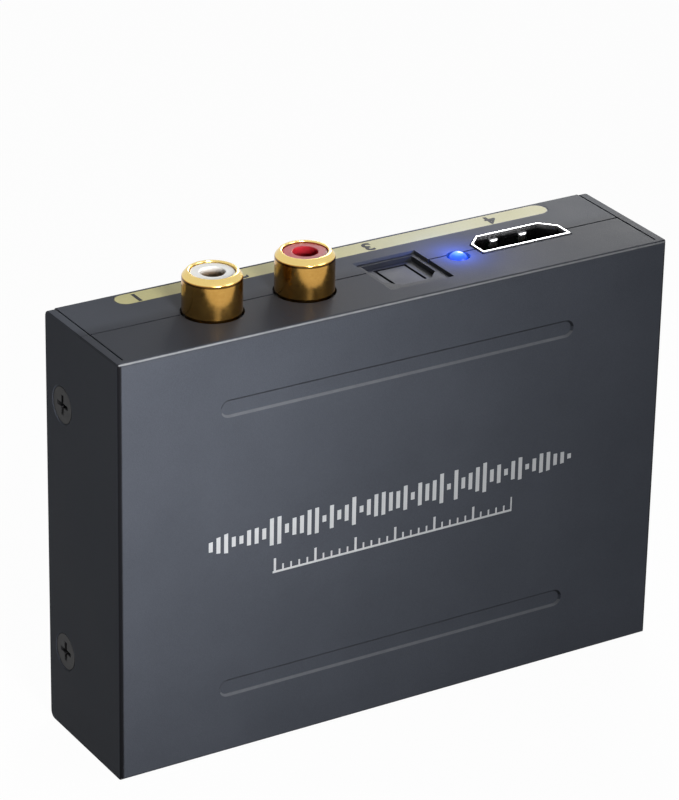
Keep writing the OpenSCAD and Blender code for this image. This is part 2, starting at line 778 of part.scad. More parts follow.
module phono_body(x) {
    color(black_color) at_output(x) difference() {
        box_between([-phono_body_w / 2, -phono_body_h, phono_rear_z],
            [phono_body_w / 2, 0, phono_front_z]);
        translate([0, -phono_axis_h, phono_floor_z])
            cylinder(r = phono_root_r + seat_clear, h = phono_body_l);
        // ways for both terminals, open to the rear and to the board
        box_between([-phono_strip_w / 2 - leg_clear, -phono_axis_h - strip_t / 2 - leg_clear,
            phono_rear_z - overrun], [phono_strip_w / 2 + leg_clear, overrun, phono_floor_z + leg_clear]);
        box_between([ground_strip_x - ground_strip_w / 2 - leg_clear,
            ground_strip_y - phono_axis_h - leg_clear, phono_rear_z - overrun],
            [ground_strip_x + ground_strip_w / 2 + leg_clear, overrun, phono_floor_z + leg_clear]);
    }
}

module phono_ground_terminal(x) {
    color(tin_color) at_output(x) box_between(
        [ground_strip_x - ground_strip_w / 2, ground_strip_y - phono_axis_h, phono_floor_z - strip_t],
        [ground_strip_x + ground_strip_w / 2, board_t + leg_tail, phono_floor_z]);
}

module phono_left_barrel() { phono_barrel(phono_left_x); }
module phono_left_insert() { phono_insert(phono_left_x); }
module phono_left_contact() { phono_contact(phono_left_x); }
module phono_left_body() { phono_body(phono_left_x); }
module phono_left_ground_terminal() { phono_ground_terminal(phono_left_x); }
module phono_right_barrel() { phono_barrel(phono_right_x); }
module phono_right_insert() { phono_insert(phono_right_x); }
module phono_right_contact() { phono_contact(phono_right_x); }
module phono_right_body() { phono_body(phono_right_x); }
module phono_right_ground_terminal() { phono_ground_terminal(phono_right_x); }

// Optical socket, in the frame of a socket

module optical_mouth_shape() {
    high = -optical_sill - optical_mouth_h;
    polygon([
        [-optical_mouth_half, -optical_sill], [optical_mouth_half, -optical_sill],
        [optical_mouth_half, high + optical_mouth_cut], [optical_mouth_half - optical_mouth_cut, high],
        [-optical_mouth_half + optical_mouth_cut, high], [-optical_mouth_half, high + optical_mouth_cut]
    ]);
}

module optical_housing() {
    color(black_color) at_output(optical_x) difference() {
        box_between([-optical_half_w, -optical_h, optical_rear_z], [optical_half_w, 0, -optical_sink]);
        // mouth through the lip, then the chamber in which the shutter swings
        translate([0, 0, optical_lip_z]) linear_extrude(optical_lip_t + overrun) optical_mouth_shape();
        box_between([-optical_mouth_half, optical_roof_y, optical_floor_z],
            [optical_mouth_half, -optical_sill, optical_lip_z]);
        // bearings of the hinge pins
        translate([0, hinge_y, shutter_z]) rotate([0, 90, 0]) cylinder(r = hinge_pin_r + hinge_pin_clear,
            h = 2 * (shutter_half_w + hinge_pin_l + hinge_pin_clear), center = true);
        // bore for the ferrule, and the pocket of the emitter
        translate([0, emitter_axis_y, optical_rear_z])
            cylinder(d = ferrule_bore_d, h = optical_floor_z - optical_rear_z + overrun);
        box_between([-emitter_w / 2 - seat_clear, emitter_axis_y - emitter_w / 2 - seat_clear,
            optical_rear_z - overrun],
            [emitter_w / 2 + seat_clear, emitter_axis_y + emitter_w / 2 + seat_clear, emitter_z + emitter_t]);
        for (i = [-1:1]) translate([i * emitter_lead_pitch, 0, 0]) box_between(
            [-emitter_lead_w / 2 - leg_clear, emitter_axis_y, optical_rear_z - overrun],
            [emitter_lead_w / 2 + leg_clear, overrun, emitter_z + emitter_lead_t + leg_clear]);
    }
}

module optical_shutter() {
    notch_x = -shutter_half_w - overrun;
    groove_half = shutter_panel_w / 2 + shutter_groove_w;
    color(black_color) at_output(optical_x) translate([0, hinge_y, shutter_z]) {
        difference() {
            run_along_x(-shutter_half_w, 2 * shutter_half_w) {
                circle(d = shutter_t);
                translate([0, -shutter_t / 2]) square([shutter_l, shutter_t]);
            }
            box_between([notch_x, -shutter_t, -shutter_t],
                [spring_notch_w - shutter_half_w, spring_notch_l, shutter_t]);
            // groove round three sides of the middle panel
            difference() {
                box_between([-groove_half, shutter_groove_root, shutter_t / 2 - shutter_groove_depth],
                    [groove_half, shutter_l - shutter_groove_rim, shutter_t]);
                box_between([-shutter_panel_w / 2, -shutter_t, -shutter_t],
                    [shutter_panel_w / 2, shutter_l - shutter_groove_rim - shutter_groove_w, 2 * shutter_t]);
            }
        }
        rotate([0, 90, 0]) cylinder(r = hinge_pin_r, h = 2 * (shutter_half_w + hinge_pin_l), center = true);
    }
}

// Point on the coil in the frame of the hinge, where turn 0 lies next to the roof
function coil_point(turn) =
    [turn * coil_step, -coil_r * cos(360 * turn), coil_r * sin(360 * turn)];

// Unit vector
function unit(v) = v / norm(v);

// Direction of the wire at one point of its route
function wire_direction(route, i) = unit(
    (i > 0 ? unit(route[i] - route[i - 1]) : [0, 0, 0])
    + (i < len(route) - 1 ? unit(route[i + 1] - route[i]) : [0, 0, 0]));

// Ring of points round the wire at one point of its route
function wire_ring(route, i) =
    let (along = wire_direction(route, i), out = unit(cross(along, [1, 0, 0])), side = cross(out, along))
    [for (k = [0:wire_sides - 1]) route[i]
        + wire_r * cos(360 * k / wire_sides) * out + wire_r * sin(360 * k / wire_sides) * side];

module wire(route) {
    last = len(route) - 1;
    points = [for (i = [0:last]) each wire_ring(route, i)];
    walls = [for (i = [0:last - 1], k = [0:wire_sides - 1])
        let (next = (k + 1) % wire_sides, a = i * wire_sides, b = a + wire_sides)
        each [[a + k, a + next, b + next], [a + k, b + next, b + k]]];
    low_end = [for (k = [1:wire_sides - 2]) [0, k + 1, k]];
    high_end = [for (k = [1:wire_sides - 2])
        [last * wire_sides, last * wire_sides + k, last * wire_sides + k + 1]];
    polyhedron(points, concat(walls, low_end, high_end));
}

module optical_shutter_spring() {
    steps = round(coil_turns * coil_rings);
    coil_end = coil_point(coil_turns);
    drop = [coil_end[0], spring_notch_l * free_leg_drop_share, -coil_r];
    route = concat(
        [[0, -coil_r, -fixed_leg_l], [0, -coil_r, -fixed_leg_l / 2]],
        [for (i = [0:steps]) coil_point(i / coil_rings)],
        [drop, drop + [0, free_leg_l, 0]]
    );
    coil_x = spring_notch_w / 2 - shutter_half_w - coil_turns * coil_step / 2;
    color(tin_color) at_output(optical_x) translate([coil_x, hinge_y, shutter_z]) wire(route);
}

module optical_emitter() {
    color("dimgray") at_output(optical_x) {
        box_between([-emitter_w / 2, emitter_axis_y - emitter_w / 2, emitter_z],
            [emitter_w / 2, emitter_axis_y + emitter_w / 2, emitter_z + emitter_t]);
        translate([0, emitter_axis_y, emitter_z + emitter_t]) intersection() {
            sphere(r = emitter_lens_r);
            translate([0, 0, -emitter_lens_r / 2]) cylinder(r = emitter_lens_r, h = 2 * emitter_lens_r);
        }
    }
}

module optical_emitter_leads() {
    color(tin_color) at_output(optical_x) for (i = [-1:1])
        box_between([i * emitter_lead_pitch - emitter_lead_w / 2, emitter_axis_y + emitter_w / 2, emitter_z],
            [i * emitter_lead_pitch + emitter_lead_w / 2, board_t + leg_tail, emitter_z + emitter_lead_t]);
}

// Indicator lamp

module lamp_lens() {
    color(lamp_color) at_output(lamp_x) translate([0, -lamp_axis_h, 0]) {
        translate([0, 0, lamp_dome_z]) sphere(r = lamp_r);
        translate([0, 0, lamp_flange_z]) cylinder(r = lamp_r, h = lamp_dome_z - lamp_flange_z);
        translate([0, 0, lamp_flange_z - lamp_flange_t]) cylinder(r = lamp_flange_r, h = lamp_flange_t);
    }
}

module lamp_leads() {
    top = lamp_flange_z - lamp_flange_t;
    color(tin_color) at_output(lamp_x) for (side = [-1, 1]) translate([side * lamp_lead_x, 0, 0]) {
        box_between([-lamp_lead_w / 2, -lamp_axis_h - lamp_lead_w / 2, top - lamp_lead_drop],
            [lamp_lead_w / 2, -lamp_axis_h + lamp_lead_w / 2, top]);
        box_between([-lamp_lead_w / 2, -lamp_axis_h, top - lamp_lead_drop],
            [lamp_lead_w / 2, board_t + leg_tail, top - lamp_lead_drop + lamp_lead_w]);
    }
}

// Video sockets, in the frame of a socket

// Middle of a shell leg along the socket
function video_leg_z(proud, share) = proud - video_l * share;

module video_leg_holes(proud) {
    for (side = [-1, 1], share = [video_leg_low_share, video_leg_high_share])
        leg_hole(side * (video_half_w - video_wall / 2), video_leg_z(proud, share), video_wall, video_leg_w);
}

module video_shell(proud) {
    color(tin_color) {
        translate([0, 0, proud - video_l]) difference() {
            linear_extrude(video_l) difference() {
                video_outline(0);
                video_outline(-video_wall);
            }
            // slots in both long walls, each of which leaves a latch spring hanging at its inner end
            for (side = [-1, 1], y = [-video_h, -video_wall])
                translate([side * latch_x, y, video_l - latch_depth]) difference() {
                    box_between([-latch_w / 2 - latch_slot, -overrun, -latch_l],
                        [latch_w / 2 + latch_slot, video_wall + overrun, latch_slot]);
                    box_between([-latch_w / 2, -2 * overrun, -latch_l - overrun],
                        [latch_w / 2, video_wall + 2 * overrun, 0]);
                }
        }
        for (side = [-1, 1], share = [video_leg_low_share, video_leg_high_share])
            translate([side * (video_half_w - video_wall / 2), 0, video_leg_z(proud, share)])
                box_between([-video_wall / 2, -video_cut - video_wall, -video_leg_w / 2],
                    [video_wall / 2, board_t + leg_tail, video_leg_w / 2]);
    }
}

function row_x(i, count) = (i - (count - 1) / 2) * contact_pitch;

module video_insulator(proud) {
    rear = proud - video_l;
    color(black_color) difference() {
        union() {
            translate([0, 0, rear]) linear_extrude(video_block_l) video_outline(-video_wall - seat_clear);
            box_between([-tongue_half_w, -tongue_low - tongue_t, rear + video_block_l / 2],
                [tongue_half_w, -tongue_low, proud - tongue_sink]);
        }
        // channels in which the contacts pass through the block
        for (i = [0:top_contacts - 1]) translate([row_x(i, top_contacts), -tongue_low - tongue_t, 0])
            box_between([-contact_w / 2 - seat_clear, -contact_t - seat_clear, rear - overrun],
                [contact_w / 2 + seat_clear, 0, proud]);
        for (i = [0:low_contacts - 1]) translate([row_x(i, low_contacts), -tongue_low, 0])
            box_between([-contact_w / 2 - seat_clear, 0, rear - overrun],
                [contact_w / 2 + seat_clear, contact_t + seat_clear, proud]);
    }
}

// One contact in the Y-Z plane: along the tongue, down behind the block, and a foot on the board.
// The tongue's face is at height h, and the strip lies on its side that step points to.
module video_contact(proud, h, step) {
    tip = proud - tongue_sink - contact_sink;
    back = proud - video_l - seat_clear;
    strip = h + step * contact_t;
    low = min(h, strip);
    high = max(h, strip);
    run_along_x(-contact_w / 2, contact_w) polygon([
        [-high, tip], [-high, back - contact_t], [-contact_t, back - contact_t],
        [-contact_t, back - contact_foot_l], [0, back - contact_foot_l], [0, back],
        [-low, back], [-low, tip]
    ]);
}

module video_contacts(proud) {
    color(gold_color) {
        for (i = [0:top_contacts - 1]) translate([row_x(i, top_contacts), 0, 0])
            video_contact(proud, tongue_low + tongue_t, 1);
        for (i = [0:low_contacts - 1]) translate([row_x(i, low_contacts), 0, 0])
            video_contact(proud, tongue_low, -1);
    }
}

module video_out_shell() { at_output(video_out_x) video_shell(video_out_proud); }
module video_out_insulator() { at_output(video_out_x) video_insulator(video_out_proud); }
module video_out_contacts() { at_output(video_out_x) video_contacts(video_out_proud); }
module video_in_shell() { at_input(video_in_x) video_shell(video_in_proud); }
module video_in_insulator() { at_input(video_in_x) video_insulator(video_in_proud); }
module video_in_contacts() { at_input(video_in_x) video_contacts(video_in_proud); }

// Power inlet, in the frame of a socket

// Middle of the spring contact's leg
function inlet_leaf_z() = inlet_front_z - inlet_bore_l + inlet_slot_l / 4;

module inlet_housing() {
    slot_top = inlet_leaf_z() + inlet_slot_l;
    color(black_color) at_input(inlet_x) difference() {
        union() {
            box_between([-inlet_w / 2, -inlet_h, inlet_rear_z], [inlet_w / 2, 0, inlet_front_z]);
            translate([0, -inlet_axis_h, inlet_front_z])
                cylinder(r = inlet_collar_r, h = -inlet_front_z - inlet_collar_sink);
        }
        translate([0, -inlet_axis_h, inlet_front_z - inlet_bore_l + inlet_collar_sink])
            cylinder(r = inlet_bore_r, h = inlet_bore_l + overrun + sheet_t);
        translate([0, -inlet_axis_h, inlet_rear_z - overrun])
            cylinder(r = inlet_pin_r + seat_clear, h = inlet_l);
        // slot of the spring contact, open to the board
        box_between([-inlet_leaf_w / 2 - leg_clear, -inlet_axis_h, inlet_leaf_z() - inlet_leaf_t],
            [inlet_leaf_w / 2 + leg_clear, overrun, slot_top - inlet_leaf_t]);
    }
}

module inlet_pin() {
    tip = -inlet_collar_sink - inlet_pin_sink;
    color(tin_color) at_input(inlet_x) translate([0, -inlet_axis_h, 0]) {
        translate([0, 0, inlet_rear_z]) cylinder(r = inlet_pin_r, h = tip - inlet_pin_r - inlet_rear_z);
        translate([0, 0, tip - inlet_pin_r]) sphere(r = inlet_pin_r);
        box_between([-inlet_terminal_w / 2, -inlet_pin_d, inlet_rear_z - strip_t],
            [inlet_terminal_w / 2, inlet_axis_h + board_t + leg_tail, inlet_rear_z]);
    }
}

module inlet_spring_contact() {
    foot = -inlet_axis_h + inlet_bore_r;
    mid = inlet_leaf_z();
    tip = mid + inlet_leaf_l;
    color(tin_color) at_input(inlet_x) run_along_x(-inlet_leaf_w / 2, inlet_leaf_w) polygon([
        [board_t + leg_tail, mid - inlet_leaf_t / 2], [foot + inlet_leaf_sink, mid - inlet_leaf_t / 2],
        [foot - inlet_leaf_lift, tip - inlet_leaf_t],
        [foot + inlet_leaf_sink, tip + inlet_leaf_t],
        [foot + inlet_leaf_sink + inlet_leaf_t, tip + inlet_leaf_t / 2],
        [foot - inlet_leaf_lift + inlet_leaf_t, tip - inlet_leaf_t],
        [foot + inlet_leaf_sink + inlet_leaf_t, mid + inlet_leaf_t / 2],
        [board_t + leg_tail, mid + inlet_leaf_t / 2]
    ]);
}

// Mode switch, in the frame of a socket

function switch_rear_z() = switch_front_z - switch_l;

// Middle of a switch terminal across the switch
function terminal_x(i) = (i - (terminal_count - 1) / 2) * switch_travel;

module switch_frame() {
    wall = switch_sheet_t;
    color(tin_color) at_input(switch_x) difference() {
        box_between([-switch_w / 2, -switch_h, switch_rear_z()], [switch_w / 2, 0, switch_front_z]);
        box_between([wall - switch_w / 2, wall - switch_h, switch_rear_z() - overrun],
            [switch_w / 2 - wall, -wall, switch_front_z - wall]);
        translate([0, -switch_axis_h, switch_front_z - 2 * wall]) linear_extrude(3 * wall) square(
            [knob_w + 2 * (switch_travel + slot_clear), knob_h + 2 * slot_clear], center = true);
    }
}

module switch_base() {
    inset = switch_sheet_t + seat_clear;
    color("saddlebrown") at_input(switch_x) difference() {
        box_between([inset - switch_w / 2, inset - switch_h, switch_rear_z()],
            [switch_w / 2 - inset, -inset, switch_rear_z() + switch_base_t]);
        for (i = [0:terminal_count - 1]) translate([terminal_x(i), -switch_axis_h, 0]) box_between(
            [-terminal_w / 2 - seat_clear, -terminal_t / 2 - seat_clear, switch_rear_z() - overrun],
            [terminal_w / 2 + seat_clear, terminal_t / 2 + seat_clear, switch_front_z]);
    }
}

module switch_terminals() {
    rear = switch_rear_z();
    color(tin_color) at_input(switch_x) for (i = [0:terminal_count - 1]) translate([terminal_x(i), 0, 0]) {
        // pad on the base's face
        box_between([-terminal_w, -switch_axis_h - terminal_w, rear + switch_base_t],
            [terminal_w, -switch_axis_h + terminal_w, rear + switch_base_t + terminal_pad_t]);
        // stem through the base, then down into the board
        box_between([-terminal_w / 2, -switch_axis_h - terminal_t / 2, rear - 2 * terminal_t],
            [terminal_w / 2, -switch_axis_h + terminal_t / 2, rear + switch_base_t + terminal_pad_t / 2]);
        box_between([-terminal_w / 2, -switch_axis_h - terminal_t / 2, rear - 2 * terminal_t],
            [terminal_w / 2, board_t + leg_tail, rear - terminal_t]);
    }
}

module switch_knob() {
    color(black_color) at_input(switch_x) translate([0, -switch_axis_h, 0]) {
        box_between([-slider_w / 2, -slider_h / 2, slider_front_z - slider_t],
            [slider_w / 2, slider_h / 2, slider_front_z]);
        box_between([-knob_w / 2, -knob_h / 2, slider_front_z - slider_t / 2],
            [knob_w / 2, knob_h / 2, -knob_sink]);
    }
}

module switch_wiper() {
    top = slider_front_z - slider_t;
    pads = switch_rear_z() + switch_base_t + terminal_pad_t;
    color(gold_color) at_input(switch_x) translate([0, -switch_axis_h, 0]) {
        box_between([-slider_w / 2 + wiper_t, -wiper_h / 2, top - wiper_t],
            [slider_w / 2 - wiper_t, wiper_h / 2, top]);
        for (side = [-1, 1]) translate([side * switch_travel / 2, 0, pads + wiper_tip_gap])
            cylinder(r = wiper_tip_r, h = top - pads - wiper_tip_gap);
    }
}

// Parts on the board, with +Z away from the board

module main_chip() {
    color(black_color) on_board(main_chip_place_share) difference() {
        translate([0, 0, main_chip_t / 2]) cube([main_chip_w, main_chip_w, main_chip_t], center = true);
        translate([-main_chip_w, main_chip_w] * chip_dot_share)
            translate([0, 0, main_chip_t - chip_dot_depth]) cylinder(r = chip_dot_r, h = main_chip_t);
    }
}

// Moulded chip body: size gives its length, height and width
module chip_body(size) {
    color(black_color) difference() {
        translate([-size[0] / 2, -size[2] / 2, chip_foot]) cube([size[0], size[2], size[1] - chip_foot]);
        translate([-size[0], size[2]] * chip_dot_share) translate([0, 0, size[1] - chip_dot_depth])
            cylinder(r = chip_dot_r, h = size[1]);
    }
}

// Gull-wing legs along both long sides of a chip body
module chip_legs(size, per_side) {
    mid = size[1] / 2;
    color(tin_color) for (side = [0, 180]) rotate([0, 0, side])
        for (i = [0:per_side - 1]) translate([(i - (per_side - 1) / 2) * leg_pitch, size[2] / 2, 0])
            run_along_x(-leg_w / 2, leg_w) polygon([
                [0, mid], [0, mid + leg_t], [leg_reach / 2 + leg_t / 2, mid + leg_t],
                [leg_reach / 2 + leg_t / 2, leg_t], [leg_reach, leg_t], [leg_reach, 0],
                [leg_reach / 2 - leg_t / 2, 0], [leg_reach / 2 - leg_t / 2, mid]
            ]);
}

module audio_chip() { on_board(audio_chip_place_share) chip_body(audio_chip_size); }
module audio_chip_legs() { on_board(audio_chip_place_share) chip_legs(audio_chip_size, audio_legs_per_side); }
module memory_chip() { on_board(memory_chip_place_share) chip_body(memory_chip_size); }
module memory_chip_legs() {
    on_board(memory_chip_place_share) chip_legs(memory_chip_size, memory_legs_per_side);
}

module regulators() {
    for (place = regulator_place_shares) on_board(place) chip_body(regulator_size);
}

module regulator_legs() {
    edge = regulator_size[2] / 2;
    color(tin_color) for (place = regulator_place_shares) on_board(place) {
        translate([-regulator_tab_w / 2, edge, 0]) cube([regulator_tab_w, regulator_tab_l, leg_t]);
        for (i = [-1:1]) translate([i * regulator_leg_pitch, -edge, 0])
            box_between([-regulator_leg_w / 2, -regulator_tab_l, 0], [regulator_leg_w / 2, 0, leg_t]);
    }
}

module crystal_can() {
    color(tin_color) on_board(crystal_place_share) {
        linear_extrude(crystal_rim_t) stadium(crystal_l + 2 * crystal_rim, crystal_w + 2 * crystal_rim);
        linear_extrude(crystal_h) stadium(crystal_l, crystal_w);
    }
}

module power_inductor() {
    color("dimgray") on_board(inductor_place_share) difference() {
        translate([0, 0, inductor_t / 2]) cube([inductor_w, inductor_w, inductor_t], center = true);
        translate([0, 0, inductor_t - chip_dot_depth]) difference() {
            cylinder(r = inductor_lid_r, h = inductor_t);
            translate([0, 0, -chip_dot_depth]) cylinder(r = inductor_lid_r - chip_dot_r, h = 2 * inductor_t);
        }
    }
}

module capacitor_cans() {
    bead_z = can_base_t + 4 * can_bead_r;
    color(tin_color) for (place = can_place_shares) on_board(place) difference() {
        translate([0, 0, can_base_t]) cylinder(r = can_r, h = can_h);
        translate([0, 0, bead_z]) rotate_extrude() translate([can_r, 0]) circle(r = can_bead_r);
    }
}

module capacitor_bases() {
    half = can_base_w / 2;
    color(black_color) for (place = can_place_shares) on_board(place) linear_extrude(can_base_t) polygon([
        [-half, -half], [half, -half], [half, half - can_base_cut], [half - can_base_cut, half],
        [can_base_cut - half, half], [-half, half - can_base_cut]
    ]);
}

// Chip part with its length along Y and a soldered cap round each end
module chip_part(height) {
    width = chip_part_l * chip_part_w_share;
    cap_l = chip_part_l * chip_end_share;
    box_between([-width / 2, -chip_part_l / 2, chip_end_skin], [width / 2, chip_part_l / 2, height]);
    for (y = [-chip_part_l / 2, chip_part_l / 2 - cap_l]) translate([-width / 2 - chip_end_skin, y, 0])
        cube([width + 2 * chip_end_skin, cap_l, height + chip_end_skin]);
}

module chip_capacitors() {
    row_y = main_chip_w / 2 + chip_row_gap;
    color("tan") on_board(main_chip_place_share) for (side = [-1, 1], i = [0:chip_row_count - 1])
        translate([(i - (chip_row_count - 1) / 2) * chip_row_pitch, side * row_y, 0]) chip_part(chip_cap_t);
}

module chip_resistors() {
    color("dimgray") for (side = [-1, 1]) on_board([0, side * resistor_row_rise_share])
        for (i = [0:resistor_row_count - 1]) translate([
            side * resistor_row_x + (i - (resistor_row_count - 1) / 2) * resistor_row_pitch, 0, 0
        ]) chip_part(chip_resistor_t);
}

cover_shell();
base_shell();
case_screws();
output_label_strip();
input_label_strip();
main_board();
board_standoffs();
board_screws();
phono_left_barrel();
phono_left_insert();
phono_left_contact();
phono_left_body();
phono_left_ground_terminal();
phono_right_barrel();
phono_right_insert();
phono_right_contact();
phono_right_body();
phono_right_ground_terminal();
optical_housing();
optical_shutter();
optical_shutter_spring();
optical_emitter();
optical_emitter_leads();
lamp_lens();
lamp_leads();
video_out_shell();
video_out_insulator();
video_out_contacts();
video_in_shell();
video_in_insulator();
video_in_contacts();
inlet_housing();
inlet_pin();
inlet_spring_contact();
switch_frame();
switch_base();
switch_terminals();
switch_knob();
switch_wiper();
main_chip();
audio_chip();
audio_chip_legs();
memory_chip();
memory_chip_legs();
regulators();
regulator_legs();
crystal_can();
power_inductor();
capacitor_cans();
capacitor_bases();
chip_capacitors();
chip_resistors();
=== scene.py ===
from math import pi, radians

import bpy
from mathutils import Matrix, Vector


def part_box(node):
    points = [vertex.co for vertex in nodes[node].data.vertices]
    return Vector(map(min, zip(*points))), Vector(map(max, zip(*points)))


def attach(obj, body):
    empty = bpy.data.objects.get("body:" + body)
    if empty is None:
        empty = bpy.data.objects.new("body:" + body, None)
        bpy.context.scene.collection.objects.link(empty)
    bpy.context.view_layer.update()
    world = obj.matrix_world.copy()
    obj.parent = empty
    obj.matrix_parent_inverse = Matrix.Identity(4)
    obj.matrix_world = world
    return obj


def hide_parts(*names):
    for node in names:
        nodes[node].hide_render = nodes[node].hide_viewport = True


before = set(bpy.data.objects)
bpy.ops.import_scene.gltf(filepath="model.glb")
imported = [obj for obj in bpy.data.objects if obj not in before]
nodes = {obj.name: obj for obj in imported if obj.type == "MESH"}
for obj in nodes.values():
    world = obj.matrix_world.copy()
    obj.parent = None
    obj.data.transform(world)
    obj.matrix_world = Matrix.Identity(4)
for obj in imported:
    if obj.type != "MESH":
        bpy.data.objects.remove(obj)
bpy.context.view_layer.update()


# Camera.
# It stands 32 degrees to the left of the front and 25 above it, half a metre off, with a long lens.
bpy.ops.object.select_all(action="DESELECT")
bpy.ops.object.camera_add(location=(-0.260628, -0.418203, 0.274240))
camera = bpy.context.object
camera.name = "camera"
camera.rotation_euler = (
    Matrix.Rotation(radians(-31.587), 3, "Z")
    @ Matrix.Rotation(radians(90 - 25.075), 3, "X")
    @ Matrix.Rotation(radians(1.1227), 3, "Z")
).to_euler()
camera.data.lens = 174.35
camera.data.sensor_width = 36
camera.data.clip_start = 0.02
bpy.context.scene.camera = camera
bpy.context.scene.view_settings.view_transform = "Standard"


# Light.
# A small softbox in front of the left end, one behind on the right that grazes the output panel,
# a wide one in front on the right, and a white room that is brighter on the right and lower down.
def softbox(name, place, aim, size, watts, spread):
    bpy.ops.object.select_all(action="DESELECT")
    bpy.ops.object.light_add(type="AREA", location=place)
    lamp = bpy.context.object
    lamp.name = name
    lamp.data.shape = "RECTANGLE"
    lamp.data.size = size
    lamp.data.size_y = size
    lamp.data.energy = watts
    lamp.data.spread = radians(spread)
    lamp.rotation_euler = (Vector(aim) - Vector(place)).to_track_quat("-Z", "Y").to_euler()


softbox("key_softbox", (-0.075, -0.28, 0.14), (-0.064, -0.01, 0.068), 0.08, 0.090, 38)
softbox("panel_softbox", (0.17, 0.17, 0.17), (0.045, 0.004, 0.063), 0.10, 0.085, 80)
softbox("fill_softbox", (0.22, -0.30, 0.20), (0.04, -0.0105, 0.05), 0.20, 0.075, 60)


def feed(tree, socket, value):
    """Sets a plain number on a socket, or wires an output to it."""
    if isinstance(value, (int, float)):
        socket.default_value = value
    else:
        tree.links.new(value, socket)


def reckon(tree, operation, *values):
    node = tree.nodes.new("ShaderNodeMath")
    node.operation = operation
    for socket, value in zip(node.inputs, values):
        feed(tree, socket, value)
    return node.outputs[0]


def scaled(tree, value, low, high, at_low=0, at_high=1, curve="LINEAR"):
    """A value carried from the range low to high into another range, and held at both ends."""
    node = tree.nodes.new("ShaderNodeMapRange")
    node.interpolation_type = curve
    for name, part in (("Value", value), ("From Min", low), ("From Max", high),
                       ("To Min", at_low), ("To Max", at_high)):
        feed(tree, node.inputs[name], part)
    return node.outputs[0]


def blended(tree, share, first, second):
    """The first shader where the share is 0, and the second where it is 1."""
    node = tree.nodes.new("ShaderNodeMixShader")
    feed(tree, node.inputs["Fac"], share)
    tree.links.new(first, node.inputs[1])
    tree.links.new(second, node.inputs[2])
    return node.outputs[0]


def looked_at(tree):
    """1 for what the camera sees, also in a reflection or through a clear piece, and 0 for light."""
    path = tree.nodes.new("ShaderNodeLightPath").outputs
    return reckon(tree, "MAXIMUM", path["Is Transmission Ray"], reckon(
        tree, "MAXIMUM", path["Is Camera Ray"], path["Is Glossy Ray"]))


world = bpy.data.worlds.new("white_room")
bpy.context.scene.world = world
world.use_nodes = True
sky = world.node_tree
sky.nodes.clear()
sky_seen = sky.nodes.new("ShaderNodeBackground")
sky_seen.inputs["Color"].default_value = (1.0, 1.0, 1.0, 1.0)
sky_seen.inputs["Strength"].default_value = 1.0
sky_lights = sky.nodes.new("ShaderNodeBackground")
sky_lights.inputs["Color"].default_value = (0.96, 0.98, 1.0, 1.0)
sky_way = sky.nodes.new("ShaderNodeTexCoord")
sky_axes = sky.nodes.new("ShaderNodeSeparateXYZ")
sky.links.new(sky_way.outputs["Generated"], sky_axes.inputs[0])
sky_side = scaled(sky, sky_axes.outputs["X"], -0.5, 0.9, at_low=0.02, at_high=1.0)
sky_rise = scaled(sky, sky_axes.outputs["Z"], 0.1, 1.0, at_low=1.0, at_high=0.25)
sky.links.new(reckon(sky, "MULTIPLY", sky_side, sky_rise), sky_lights.inputs["Strength"])
sky_out = sky.nodes.new("ShaderNodeOutputWorld")
sky.links.new(blended(sky, looked_at(sky), sky_lights.outputs[0], sky_seen.outputs[0]),
              sky_out.inputs["Surface"])


# Floor.
# White paper. The camera and reflections see it white, but it throws back only as much light as
# grey paper does, and from below it is clear, so that the underside shows.
bpy.ops.object.select_all(action="DESELECT")
bpy.ops.mesh.primitive_plane_add(size=40, location=(0, 0, -0.00005))
floor = bpy.context.object
floor.name = "paper_floor"
paper = bpy.data.materials.new("white_paper")
paper.use_nodes = True
sheet = paper.node_tree
sheet.nodes.clear()
sheet_white = sheet.nodes.new("ShaderNodeEmission")
sheet_white.inputs["Color"].default_value = (1.0, 1.0, 1.0, 1.0)
sheet_white.inputs["Strength"].default_value = 1.0
sheet_shadow = sheet.nodes.new("ShaderNodeBsdfDiffuse")
sheet_shadow.inputs["Color"].default_value = (0.95, 0.95, 0.955, 1.0)
sheet_bounce = sheet.nodes.new("ShaderNodeBsdfDiffuse")
sheet_bounce.inputs["Color"].default_value = (0.14, 0.14, 0.145, 1.0)
sheet_clear = sheet.nodes.new("ShaderNodeBsdfTransparent")
sheet_sides = sheet.nodes.new("ShaderNodeNewGeometry")
sheet_seen = blended(sheet, 0.97, sheet_shadow.outputs[0], sheet_white.outputs[0])
sheet_above = blended(sheet, looked_at(sheet), sheet_bounce.outputs[0], sheet_seen)
sheet_out = sheet.nodes.new("ShaderNodeOutputMaterial")
sheet.links.new(blended(sheet, sheet_sides.outputs["Backfacing"], sheet_above, sheet_clear.outputs[0]),
                sheet_out.inputs["Surface"])
floor.data.materials.append(paper)


# Base of the case.
# Sheet metal folded into a back plate with two flanges and two inner tabs, powder coated in a fine
# satin slate grey. The cover slides over the tabs.
def wires(tree, *pairs):
    for source, target in pairs:
        tree.links.new(source, target)


def apart(tree, value, middle):
    """How far a value is from the middle, to either side."""
    return reckon(tree, "ABSOLUTE", reckon(tree, "SUBTRACT", value, middle))


def distance(tree, across, up):
    """The straight distance that two steps at right angles make."""
    return reckon(tree, "SQRT", reckon(
        tree, "ADD", reckon(tree, "POWER", across, 2), reckon(tree, "POWER", up, 2)))


def axes_of(tree):
    """The x, y and z of the Object coordinates, in metres."""
    place = tree.nodes.new("ShaderNodeTexCoord")
    axes = tree.nodes.new("ShaderNodeSeparateXYZ")
    tree.links.new(place.outputs["Object"], axes.inputs[0])
    return axes.outputs["X"], axes.outputs["Y"], axes.outputs["Z"]


def middle_of(node):
    """The middle of a CAD node's box."""
    low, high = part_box(node)
    return (low + high) / 2


